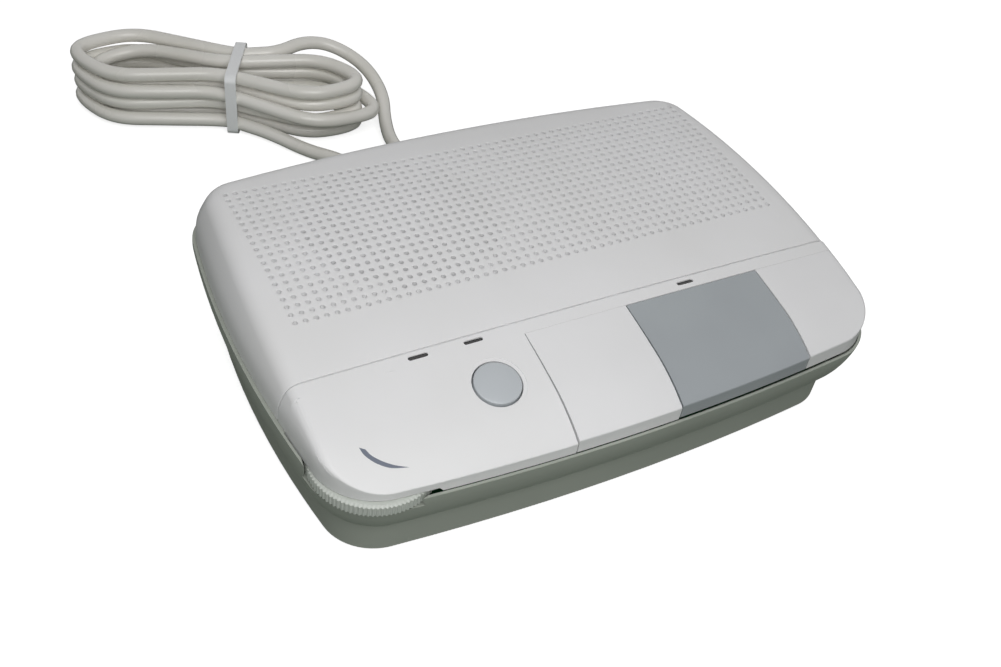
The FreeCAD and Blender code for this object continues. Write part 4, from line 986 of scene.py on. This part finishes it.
@dataclass
class FrontPiece:
    """A key or the panel: its CAD node, merged, with the front edge and the heights of the real moulding.

    The skirt drops over skirt_fade millimetres from skirt_left on, and the top keeps its height beyond right.
    The blend turns crisp over crisp_fade millimetres in front of crisp_y. The notch is a step in a CAD skirt
    at the front right corner, which is closed.
    """

    form: CaseForm
    rim: FrontRim
    paints: Paintbox
    node: str
    body: str
    slot: str
    finish: Finish
    rise: Rise
    skirt_drop: float
    skirt_left: float = -100.0
    skirt_fade: float = 1.0
    right: float = 100.0
    lift: float = 0.0
    closed_back: bool = False
    hairline: float = 0.05
    back_margin: float = 0.2
    edge_depth: float = 0.25
    cad_blend: float = 3.0
    blend_spill: float = 0.06
    blend_gap: float = 0.12
    blend_cuts: int = 4
    crispness: float = 0.2
    crisp_y: float = -40.0
    crisp_fade: float = 13.0
    crisp_onset: float = 4.0
    skirt_z: float = -0.9
    notch: tuple[float, float, float] = (68.0, -49.0, 0.5)
    slack: float = 0.02

    def _blend_place(self, point: Vector) -> tuple[RimCorner, float, float, float] | None:
        """Says where on the CAD's blend a point lies.

        Args:
            point: a point in level millimetres.

        Returns:
            The nearest corner, the point's inset, the blend's length, and its place from 1 at the crown to -1
            at the wall. None if the point is not on the blend.
        """
        corner = self.rim.nearest(point)
        inset = (point.xy - corner.place.xy).dot(corner.inward)
        height = point.z - self.form.crown(point.x, point.y) - self.lift
        along, down = corner.split(inset, height)
        length = self.cad_blend * math.tan(corner.turn / 2)
        if min(along, down) <= -self.blend_spill or max(along, down) >= length + self.slack:
            return None
        return corner, inset, length, max(-1.0, min(1.0, (along - down) / length))

    def _sharpen(self, point: Vector) -> Vector:
        """Moves a point of the blend out to a tighter blend in the same corner."""
        found = self._blend_place(point)
        if found is None or point.y > self.form.key_back_y - self.slack:
            return point
        corner, inset, length, place = found
        amount = clamp((self.crisp_y - corner.place.y) / self.crisp_fade)
        share = 1.0 - (1.0 - self.crispness) * amount
        if abs(place) >= share:
            along, down = max(0.0, place) * length, max(0.0, -place) * length
        else:
            weight = math.cos(corner.turn / 2)
            turn = place / share
            q = turn * (1 + weight) / (1 + math.sqrt(1 - (1 - weight ** 2) * turn ** 2))
            whole = (1 + q * q) / 2 + weight * (1 - q * q) / 2
            along, down = (length * share * ((1 + sign * q) / 2) ** 2 / whole for sign in (1, -1))
        new_inset, height = corner.join(along, down)
        flat = point.xy + corner.inward * (new_inset - inset)
        target = Vector((flat.x, flat.y, self.form.crown(flat.x, flat.y) + self.lift + height))
        return point.lerp(target, clamp(self.crisp_onset * amount))

    def _raise(self, point: Vector) -> float:
        """Returns how far a point rises with the top of the piece."""
        form = self.form
        if point.y > form.key_back_y + self.slack or point.x > self.right:
            return 0.0
        depth = form.crown(point.x, point.y) + self.lift - point.z
        if point.y > form.key_back_y - self.slack and depth > self.edge_depth:
            return 0.0
        return self.rise.at(form, point.x, point.y) * clamp(1.0 - depth / self.rise.reach)

    def build(self) -> bpy.types.Object:
        """Builds the piece in place of its CAD node."""
        form = self.form
        bm = merged_copy(self.node, form.to_row())
        if self.closed_back:
            for vert in bm.verts:
                if abs(vert.co.y - form.key_back_y + form.key_gap) < self.slack:
                    vert.co.y = form.key_back_y - self.hairline
        places = {vert: self._blend_place(vert.co) for vert in bm.verts}
        across = [edge for edge in bm.edges if all(places[vert] for vert in edge.verts)
                  and abs(places[edge.verts[0]][3] - places[edge.verts[1]][3]) > self.blend_gap]
        bmesh.ops.subdivide_edges(bm, edges=across, cuts=self.blend_cuts)
        for x in (self.skirt_left, self.skirt_left + self.skirt_fade):
            bmesh.ops.bisect_plane(bm, geom=bm.verts[:] + bm.edges[:] + bm.faces[:], plane_co=(x, 0, 0),
                                   plane_no=(1, 0, 0), dist=0.0005)
        notch_x, notch_y, notch_z = self.notch
        for vert in bm.verts:
            if vert.co.x > notch_x and vert.co.y < notch_y and abs(vert.co.z - notch_z) < self.slack:
                vert.co.z = self.skirt_z
            if vert.co.y < form.key_back_y - self.back_margin and abs(vert.co.z - self.skirt_z) < self.slack:
                vert.co.z -= self.skirt_drop * clamp((vert.co.x - self.skirt_left) / self.skirt_fade)
                continue
            vert.co = self._sharpen(vert.co)
            vert.co.z += self._raise(vert.co)
        piece = finish_mesh(self.node + "_cap", bm, form.to_row(), smooth_deg=28.0)
        self.paints.dress(piece, self.finish)
        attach(piece, self.body)
        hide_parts(self.node)
        LOG.info("%s: %d faces", self.node, len(piece.data.polygons))
        return piece


PANEL_RISE = Rise(-0.4, -1.7, reach=3.0)


def front_pieces(form: CaseForm, paints: Paintbox) -> list[FrontPiece]:
    """Returns the panel and the three keys, with the heights that the photograph shows."""
    rim = FrontRim(form)
    return [
        FrontPiece(form, rim, paints, "control_bezel", "case", "case_plastic", Finish.CASE, PANEL_RISE, 1.25,
                   skirt_left=-56.4, right=-20.55, lift=form.panel_step),
        FrontPiece(form, rim, paints, "lock_key", "lock_key", "key_plastic", Finish.KEY, Rise(0.0, -0.3), 1.1,
                   closed_back=True),
        FrontPiece(form, rim, paints, "talk_key", "talk_key", "talk_plastic", Finish.TALK, Rise(0.0, 0.2),
                   0.6),
        FrontPiece(form, rim, paints, "call_key", "call_key", "key_plastic", Finish.KEY, Rise(0.0, 0.6), 0.6,
                   closed_back=True),
    ]


# Hold button

@dataclass
class HoldButton:
    """The round button: its CAD node, merged, with its cap let down to the panel's real height."""

    form: CaseForm
    paints: Paintbox
    x: float = -33.7
    y: float = -40.6
    cap_depth: float = 1.6
    slimmer: float = 0.985

    def build(self) -> bpy.types.Object:
        """Builds the button in place of its CAD node."""
        form = self.form
        bm = merged_copy("hold_button", form.to_row())
        rise = PANEL_RISE.at(form, self.x, self.y)
        for vert in bm.verts:
            if vert.co.z > form.crown(vert.co.x, vert.co.y) + form.panel_step - self.cap_depth:
                vert.co.x = self.x + (vert.co.x - self.x) * self.slimmer
                vert.co.y = self.y + (vert.co.y - self.y) * self.slimmer
                vert.co.z += rise
        button = finish_mesh("hold_button_cap", bm, form.to_row(), smooth_deg=30.0)
        self.paints.dress(button, Finish.BUTTON)
        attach(button, "hold_button")
        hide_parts("hold_button")
        LOG.info("hold button: %d faces", len(button.data.polygons))
        return button


# Volume mark

@dataclass
class VolumeMark:
    """The printed wedge that swells towards full volume, on the panel beside the thumbwheel."""

    form: CaseForm
    paints: Paintbox
    inner: tuple[tuple[float, float], ...] = (
        (-70.7, -47.4), (-70.0, -48.9), (-68.9, -50.15), (-67.5, -51.35), (-65.4, -52.7), (-62.5, -54.0))
    outer: tuple[tuple[float, float], ...] = (
        (-71.9, -46.6), (-71.5, -48.3), (-70.5, -49.9), (-68.9, -51.5), (-66.4, -53.0), (-62.5, -54.0))
    shift: tuple[float, float] = (0.3, 1.25)
    ink: float = 0.03
    steps: int = 24

    @staticmethod
    def _along(points: Sequence[tuple[float, float]], share: float) -> Vector:
        """Returns the point at a share of the way along a smooth line through the given points."""
        place = share * (len(points) - 1)
        return Vector([smooth_between([(float(n), point[axis]) for n, point in enumerate(points)], place)
                       for axis in (0, 1)])

    def build(self) -> bpy.types.Object:
        """Builds the mark as a film of ink on the panel."""
        form = self.form
        bm = bmesh.new()
        bmesh.ops.create_grid(bm, x_segments=self.steps, y_segments=2, size=0.5)
        for vert in bm.verts:
            share, across = vert.co.x + 0.5, vert.co.y + 0.5
            plan = self._along(self.inner, share).lerp(self._along(self.outer, share), across)
            plan += Vector(self.shift)
            height = form.crown(plan.x, plan.y) + PANEL_RISE.at(form, plan.x, plan.y)
            vert.co = (plan.x, plan.y, height + form.panel_step + self.ink)
        bmesh.ops.remove_doubles(bm, verts=bm.verts[:], dist=0.005)
        face_up(bm)
        bmesh.ops.solidify(bm, geom=bm.faces[:], thickness=2 * self.ink)
        bmesh.ops.recalc_face_normals(bm, faces=bm.faces[:])
        mark = finish_mesh("volume_mark", bm, form.to_row())
        self.paints.dress(mark, Finish.MARK)
        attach(mark, "case")
        LOG.info("volume mark: %d faces", len(mark.data.polygons))
        return mark


# Lower case

@dataclass
class LowerCase:
    """The lower case: its CAD node, merged, with the front lip a little lower under the panel and keys."""

    form: CaseForm
    paints: Paintbox
    lip_z: float = -1.6
    lip_drop: float = 0.45
    lip_left: float = -60.7
    lip_back: float = -29.35
    slack: float = 0.03

    def build(self) -> bpy.types.Object:
        """Builds the lower case in place of its CAD node."""
        bm = merged_copy("bottom_case", self.form.to_row())
        for vert in bm.verts:
            if (abs(vert.co.z - self.lip_z) < self.slack and vert.co.y < self.lip_back
                    and vert.co.x > self.lip_left):
                vert.co.z -= self.lip_drop
        case = finish_mesh("bottom_case_shell", bm, self.form.to_row(), smooth_deg=30.0)
        self.paints.dress(case, Finish.PLINTH)
        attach(case, "case")
        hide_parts("bottom_case")
        LOG.info("lower case: %d faces", len(case.data.polygons))
        return case


# Volume thumbwheel

@dataclass
class Thumbwheel:
    """The volume wheel: a chamfered disc with a finely ribbed rim and a dished face, on its shaft."""

    form: CaseForm
    paints: Paintbox
    x: float = -66.0
    y: float = -42.0
    radius: float = 16.2
    bottom: float = -4.9
    thickness: float = 3.7
    ribs: int = 96
    rib_depth: float = 0.32
    chamfer: float = 0.5
    hub_r: float = 4.6
    hub_ease: tuple[float, float] = (0.6, 0.3)
    dish_r: float = 13.0
    dish_depth: float = 1.4
    dish_fillet: float = 0.4
    dish_ease: float = 0.2
    under_r: float = 8.2
    shaft_r: float = 3.0
    shaft_length: float = 2.6
    shaft_chamfer: float = 0.3

    def _rings(self) -> list[tuple[float, float, bool]]:
        """Radius, height and whether the ribs show, from the hub's face over the rim to the shaft's end."""
        bottom, top = self.bottom, self.bottom + self.thickness
        floor, end = top - self.dish_depth, self.bottom - self.shaft_length
        hub, dish, shaft = self.hub_r, self.dish_r, self.shaft_r
        fillet, ease_by, cut = self.dish_fillet, self.dish_ease, self.shaft_chamfer
        edge = self.radius - self.chamfer - self.rib_depth
        above = [(hub - self.hub_ease[0], top), (hub, top - self.hub_ease[1]), (hub, floor),
                 (dish - fillet, floor), (dish, floor + fillet), (dish, top - ease_by), (dish + ease_by, top),
                 (edge, top)]
        rim = [(self.radius, top - self.chamfer), (self.radius, bottom + self.chamfer)]
        below = [(edge, bottom), (self.under_r, bottom), (shaft, bottom), (shaft, end),
                 (shaft - cut, end - cut)]
        return [(*ring, rings is rim) for rings in (above, rim, below) for ring in rings]

    def build(self) -> bpy.types.Object:
        """Builds the wheel in place of the CAD node."""
        bm = bmesh.new()
        count = 4 * self.ribs
        bmesh.ops.create_circle(bm, cap_ends=True, segments=count, radius=1.0)
        ring = sorted(bm.verts, key=lambda vert: math.atan2(vert.co.y, vert.co.x) % (2 * math.pi))
        for number, (radius, z, ribbed) in enumerate(self._rings()):
            places = []
            for n in range(count):
                angle = 2 * math.pi * n / count
                reach = radius - (self.rib_depth if ribbed and n % 4 in (0, 1) else 0.0)
                places.append(Vector((self.x + reach * math.cos(angle), self.y + reach * math.sin(angle), z)))
            if number == 0:
                for vert, place in zip(ring, places):
                    vert.co = place
            else:
                ring = grow_ring(bm, ring, places, closed=True)
        bmesh.ops.contextual_create(bm, geom=ring)
        bmesh.ops.recalc_face_normals(bm, faces=bm.faces[:])
        wheel = finish_mesh("volume_wheel_ribbed", bm, self.form.to_row(), smooth_deg=25.0)
        self.paints.dress(wheel, Finish.WHEEL)
        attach(wheel, "volume_wheel")
        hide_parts("volume_wheel")
        LOG.info("thumbwheel: %d ribs", self.ribs)
        return wheel


# Cord

@dataclass(frozen=True)
class HankForm:
    """Sizes of the tied hank, in millimetres."""

    x: float = -38.3
    y: float = 157.4
    turn_deg: float = -31.0
    lobe_r: float = 17.6
    lobe_u: float = 33.5
    waist: float = 8.85
    waist_step: float = 6.2
    lobe_step: float = 6.2
    layer: float = 5.4
    turns: float = 5.5
    base_z: float = 3.5
    climbs: tuple[float, ...] = (1.25, 2.75, 4.25)
    climb_length: float = 0.25
    climb_ease: float = 0.6
    swing_turns: float = 3.0
    inmost: float = 1.25
    lobe_pull: float = 0.06
    tip: float = 0.02

    def place(self, u: float, v: float, z: float) -> Vector:
        """Returns the row-frame point, in millimetres, of a point in the hank's own plan."""
        angle = math.radians(self.turn_deg)
        return Vector((self.x + u * math.cos(angle) - v * math.sin(angle),
                       self.y + u * math.sin(angle) + v * math.cos(angle), z))

    def swing(self, turns: float) -> float:
        """Returns how many cord steps inwards a turn lies: out, in, out and in again, layer by layer."""
        phase = (turns - self.climbs[0]) % self.swing_turns
        return self.inmost - min(phase, self.swing_turns - phase)

    def height(self, turns: float) -> float:
        """Returns the height of the cord, which climbs a layer along the run after each reversal."""
        climbed = 0.0
        for start in self.climbs:
            share = clamp((turns - start) / self.climb_length)
            climbed += ease(share) * self.climb_ease + share * (1 - self.climb_ease)
        return self.base_z + climbed * self.layer

    def loop_points(self, per_turn: int) -> list[Vector]:
        """Points of the spline round the hank, past its first and before its last straight."""
        found = []
        steps = int(self.turns * per_turn)
        for n in range(1, steps):
            turns = n / per_turn
            angle = 2 * math.pi * turns
            inward = self.swing(turns)
            lobe = self.lobe_r - inward * self.lobe_step
            waist = self.waist - max(0.0, inward) * self.waist_step
            u = -math.sin(angle) * (self.lobe_u + lobe) * (1.0 - self.lobe_pull * math.cos(2 * angle))
            side = -math.cos(angle)
            half = waist + (lobe - waist) * ease(clamp(abs(u) / self.lobe_u))
            reach = abs(u) - self.lobe_u
            if reach > 0:
                half = math.sqrt(max(0.0, lobe ** 2 - min(lobe, reach) ** 2))
            v = math.copysign(half, side) if abs(side) > self.tip else 0.0
            found.append(self.place(u, v, self.height(turns)))
        return found


@dataclass
class CordTie:
    """The tie round the hank: its CAD node, merged, and turned and moved a little along the hank."""

    hank: HankForm
    paints: Paintbox
    turn_deg: float = 4.0
    along: float = 3.6
    wider: float = 1.16

    def build(self) -> bpy.types.Object:
        """Builds the tie in place of its CAD node."""
        hank, to_row = self.hank, Matrix.Scale(MM, 4)
        bm = merged_copy("cord_tie", to_row)
        hank_turn = Matrix.Rotation(math.radians(hank.turn_deg), 4, "Z")
        tie_turn = Matrix.Rotation(math.radians(hank.turn_deg + self.turn_deg), 4, "Z")
        widen = Matrix.Diagonal((1.0, self.wider, 1.0, 1.0))
        from_hank = hank_turn.inverted() @ Matrix.Translation(-hank.place(0.0, 0.0, 0.0))
        matrix = to_row @ Matrix.Translation(hank.place(self.along, 0.0, 0.0)) @ tie_turn @ widen @ from_hank
        tie = finish_mesh("cord_tie_strap", bm, matrix, smooth_deg=30.0)
        self.paints.dress(tie, Finish.TIE)
        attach(tie, "case")
        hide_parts("cord_tie")
        LOG.info("cord tie: %d faces", len(tie.data.polygons))
        return tie


@dataclass
class LineCord:
    """The line cord: from the strain relief into the hank and out of it to the modular plug."""

    hank: HankForm
    paints: Paintbox
    tie: bpy.types.Object
    diameter_mm: float = 4.8
    length_m: float = 1.475
    exit_mm: tuple[float, float, float] = (22.0, 70.29, 9.0)
    front_route: tuple[tuple[float, float, float], ...] = (
        (22.0, 80.0, 8.6), (18.5, 90.5, 4.6), (12.5, 102.0, 2.4), (9.7, 114.5, 2.4),
        (12.5, 127.5, 3.6), (17.0, 139.5, 8.2), (15.0, 152.5, 14.0), (6.0, 162.6, 18.6),
        (-4.5, 164.4, 20.6), (-15.9, 160.8, 19.7))
    tail_route: tuple[tuple[float, float, float], ...] = (
        (-29.0, 134.0, 3.5), (-20.5, 120.5, 2.5), (-11.5, 111.5, 2.4), (-7.0, 100.5, 2.6), (-6.5, 87.0, 3.3))
    hank_ends: tuple[tuple[float, float], ...] = ((9.0, 2.4), (3.5, 0.4))
    points_per_turn: int = 16
    bevel_steps: int = 5
    spline_steps: int = 10

    def _points(self) -> list[Vector]:
        """Returns the control points from the strain relief to the plug.

        Each hank end is a place along the hank and how far outside its waist the cord runs there.
        """
        hank = self.hank
        low, high = hank.base_z, hank.base_z + len(hank.climbs) * hank.layer
        enter = [hank.place(u, hank.waist + out, high) for u, out in self.hank_ends]
        leave = [hank.place(u, -(hank.waist + out), low) for u, out in reversed(self.hank_ends)]
        loops = hank.loop_points(self.points_per_turn)[::-1]
        lead = [Vector(point) for point in (self.exit_mm, *self.front_route)]
        return lead + enter + loops + leave + [Vector(point) for point in self.tail_route]

    def build(self) -> bpy.types.Object:
        points = self._points()
        curve = bpy.data.curves.new("line_cord_lead", "CURVE")
        curve.dimensions = "3D"
        curve.bevel_depth = self.diameter_mm / 2 * MM
        curve.bevel_resolution = self.bevel_steps
        curve.use_fill_caps = True
        spline = curve.splines.new("NURBS")
        spline.points.add(len(points) - 1)
        for control, point in zip(spline.points, points):
            control.co = (*(point * MM), 1.0)
        spline.order_u = 3
        spline.use_endpoint_u = True
        spline.resolution_u = self.spline_steps
        cord = bpy.data.objects.new("line_cord_lead", curve)
        bpy.context.scene.collection.objects.link(cord)
        curve.materials.append(self.paints.get(Finish.CORD))
        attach(cord, "case")
        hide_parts("line_cord", "cord_hank", "cord_tail")
        LOG.info("line cord: %d control points", len(points))
        return cord


# CAD nodes that keep their own shape

CARRIED_OVER: dict[Finish, tuple[str, ...]] = {
    Finish.LENS: ("indicator_lenses",),
    Finish.LED: ("indicator_leds",),
    Finish.BOARD: ("switch_board", "main_board"),
    Finish.DARK: ("key_switches", "volume_potentiometer", "amplifier_ic"),
    Finish.SLEEVE: ("capacitors",),
    Finish.RELAY: ("hold_relay",),
    Finish.CORE: ("line_transformer",),
    Finish.FERRITE: ("speaker_magnet",),
    Finish.PAPER: ("speaker_cone",),
    Finish.STEEL: ("speaker_frame", "speaker_clamps", "case_screws", "bezel_screws", "board_screws",
                   "clamp_screws"),
    Finish.SPRING: ("key_hinge_rod", "lock_spring", "talk_spring", "call_spring", "hold_spring"),
    Finish.RUBBER: ("rubber_feet",),
    Finish.CORD: ("strain_relief",),
    Finish.PLUG: ("modular_plug",),
}


def dress_carried_over(paints: Paintbox) -> None:
    """Gives every CAD node that keeps its own shape its finish."""
    for finish, nodes in CARRIED_OVER.items():
        for node in nodes:
            paints.dress(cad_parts[node], finish)
    LOG.info("carried over: %d nodes", sum(len(nodes) for nodes in CARRIED_OVER.values()))


# Studio

@dataclass(frozen=True)
class Studio:
    """Camera, lamps and the pale ground."""

    eye_mm: tuple[float, float, float] = (-145.42, -210.83, 226.57)
    azimuth_deg: float = -33.084
    elevation_deg: float = 40.629
    roll_deg: float = 7.482
    lens_mm: float = 41.57
    key_place: tuple[float, float, float] = (-0.11, -0.24, 0.33)
    key_size: float = 0.3
    key_power: float = 1.09
    fill_place: tuple[float, float, float] = (0.3, 0.6, 0.9)
    fill_size: float = 0.8
    fill_power: float = 0.5
    aim: tuple[float, float, float] = (0.0, 0.03, 0.02)
    surround_strength: float = 0.2
    floor_size: float = 6.0
    floor_z: float = -0.0002
    floor_glow: float = 0.72
    floor_colour: str = "#f4f4f4"
    bounce_colour: str = "#7f887f"

    def camera(self) -> None:
        """Adds the camera at the photograph's viewing angle."""
        azimuth, elevation = math.radians(self.azimuth_deg), math.radians(self.elevation_deg)
        flat = math.cos(elevation)
        back = Vector((math.sin(azimuth) * flat, -math.cos(azimuth) * flat, math.sin(elevation)))
        right = Vector((math.cos(azimuth), math.sin(azimuth), 0.0))
        level = Matrix((right, back.cross(right), back)).transposed().to_4x4()
        data = bpy.data.cameras.new("camera")
        data.lens = self.lens_mm
        data.sensor_width = 36.0
        data.sensor_fit = "HORIZONTAL"
        data.clip_start = 0.01
        camera = bpy.data.objects.new("camera", data)
        camera.matrix_world = (Matrix.Translation(Vector(self.eye_mm) * MM) @ level
                               @ Matrix.Rotation(math.radians(self.roll_deg), 4, "Z"))
        bpy.context.scene.collection.objects.link(camera)
        bpy.context.scene.camera = camera

    def lamp(self, name: str, place: tuple[float, float, float], size: float, power: float) -> None:
        """Adds a square area lamp that looks at the case.

        Args:
            name: the lamp's name.
            place: where it is, in metres.
            size: its edge in metres.
            power: its power in watts.
        """
        data = bpy.data.lights.new(name, "AREA")
        data.size = size
        data.energy = power
        lamp = bpy.data.objects.new(name, data)
        facing = Vector(self.aim) - Vector(place)
        lamp.matrix_world = Matrix.Translation(place) @ facing.to_track_quat("-Z", "Y").to_matrix().to_4x4()
        bpy.context.scene.collection.objects.link(lamp)

    def world(self) -> None:
        """Sets a soft grey surround that the camera, gloss and clear plastic see as white."""
        world = bpy.data.worlds.new("surround")
        world.use_nodes = True
        tree = world.node_tree
        tree.nodes.clear()
        path = add_node(tree, "ShaderNodeLightPath")
        soft = add_node(tree, "ShaderNodeBackground",
                        {"Color": linear("#ffffff"), "Strength": self.surround_strength})
        white = add_node(tree, "ShaderNodeBackground", {"Color": linear("#ffffff"), "Strength": 1.0})
        seen = path.outputs["Is Camera Ray"]
        for ray in ("Is Glossy Ray", "Is Transmission Ray"):
            either = add_node(tree, "ShaderNodeMath", links={0: seen, 1: path.outputs[ray]},
                              operation="MAXIMUM")
            seen = either.outputs[0]
        pick = add_node(tree, "ShaderNodeMixShader", links={0: seen, 1: soft.outputs["Background"],
                                                            2: white.outputs["Background"]})
        add_node(tree, "ShaderNodeOutputWorld", links={"Surface": pick.outputs["Shader"]})
        bpy.context.scene.world = world

    def floor(self) -> None:
        """Adds a large pale floor that reads as white but keeps the object's shadow."""
        bm = bmesh.new()
        bmesh.ops.create_grid(bm, x_segments=1, y_segments=1, size=self.floor_size)
        bmesh.ops.translate(bm, vec=(0, 0, self.floor_z), verts=bm.verts[:])
        floor = finish_mesh("floor", bm, Matrix.Identity(4))
        look = NodeMaterial("pale_paper_sweep", {"Base Color": linear(self.floor_colour), "Roughness": 0.9})
        tree = look.tree
        path = add_node(tree, "ShaderNodeLightPath")
        glow = add_node(tree, "ShaderNodeEmission", {"Color": linear("#ffffff"), "Strength": self.floor_glow})
        bounce = add_node(tree, "ShaderNodeBsdfDiffuse", {"Color": linear(self.bounce_colour)})
        both = add_node(tree, "ShaderNodeAddShader", links={0: look.shader.outputs["BSDF"],
                                                            1: glow.outputs["Emission"]})
        pick = add_node(tree, "ShaderNodeMixShader", links={0: path.outputs["Is Camera Ray"],
                                                            1: bounce.outputs["BSDF"],
                                                            2: both.outputs["Shader"]})
        tree.links.new(pick.outputs["Shader"], look.output.inputs["Surface"])
        floor.data.materials.append(look.material)

    def build(self) -> None:
        """Sets up the whole studio."""
        self.camera()
        self.world()
        self.floor()
        self.lamp("key_lamp", self.key_place, self.key_size, self.key_power)
        self.lamp("fill_lamp", self.fill_place, self.fill_size, self.fill_power)
        bpy.context.scene.view_settings.view_transform = "Standard"


def main() -> None:
    """Builds the studio, the cord and the pieces in order."""
    logging.basicConfig(level=logging.INFO)
    Studio().build()
    paints = Paintbox()
    dress_carried_over(paints)
    form = CaseForm()
    TopCase(form, Grille(), paints).build()
    Thumbwheel(form, paints).build()
    VolumeMark(form, paints).build()
    for piece in front_pieces(form, paints):
        piece.build()
    LowerCase(form, paints).build()
    HoldButton(form, paints).build()
    hank = HankForm()
    tie = CordTie(hank, paints).build()
    LineCord(hank, paints, tie).build()


if __name__ == "__main__":
    main()
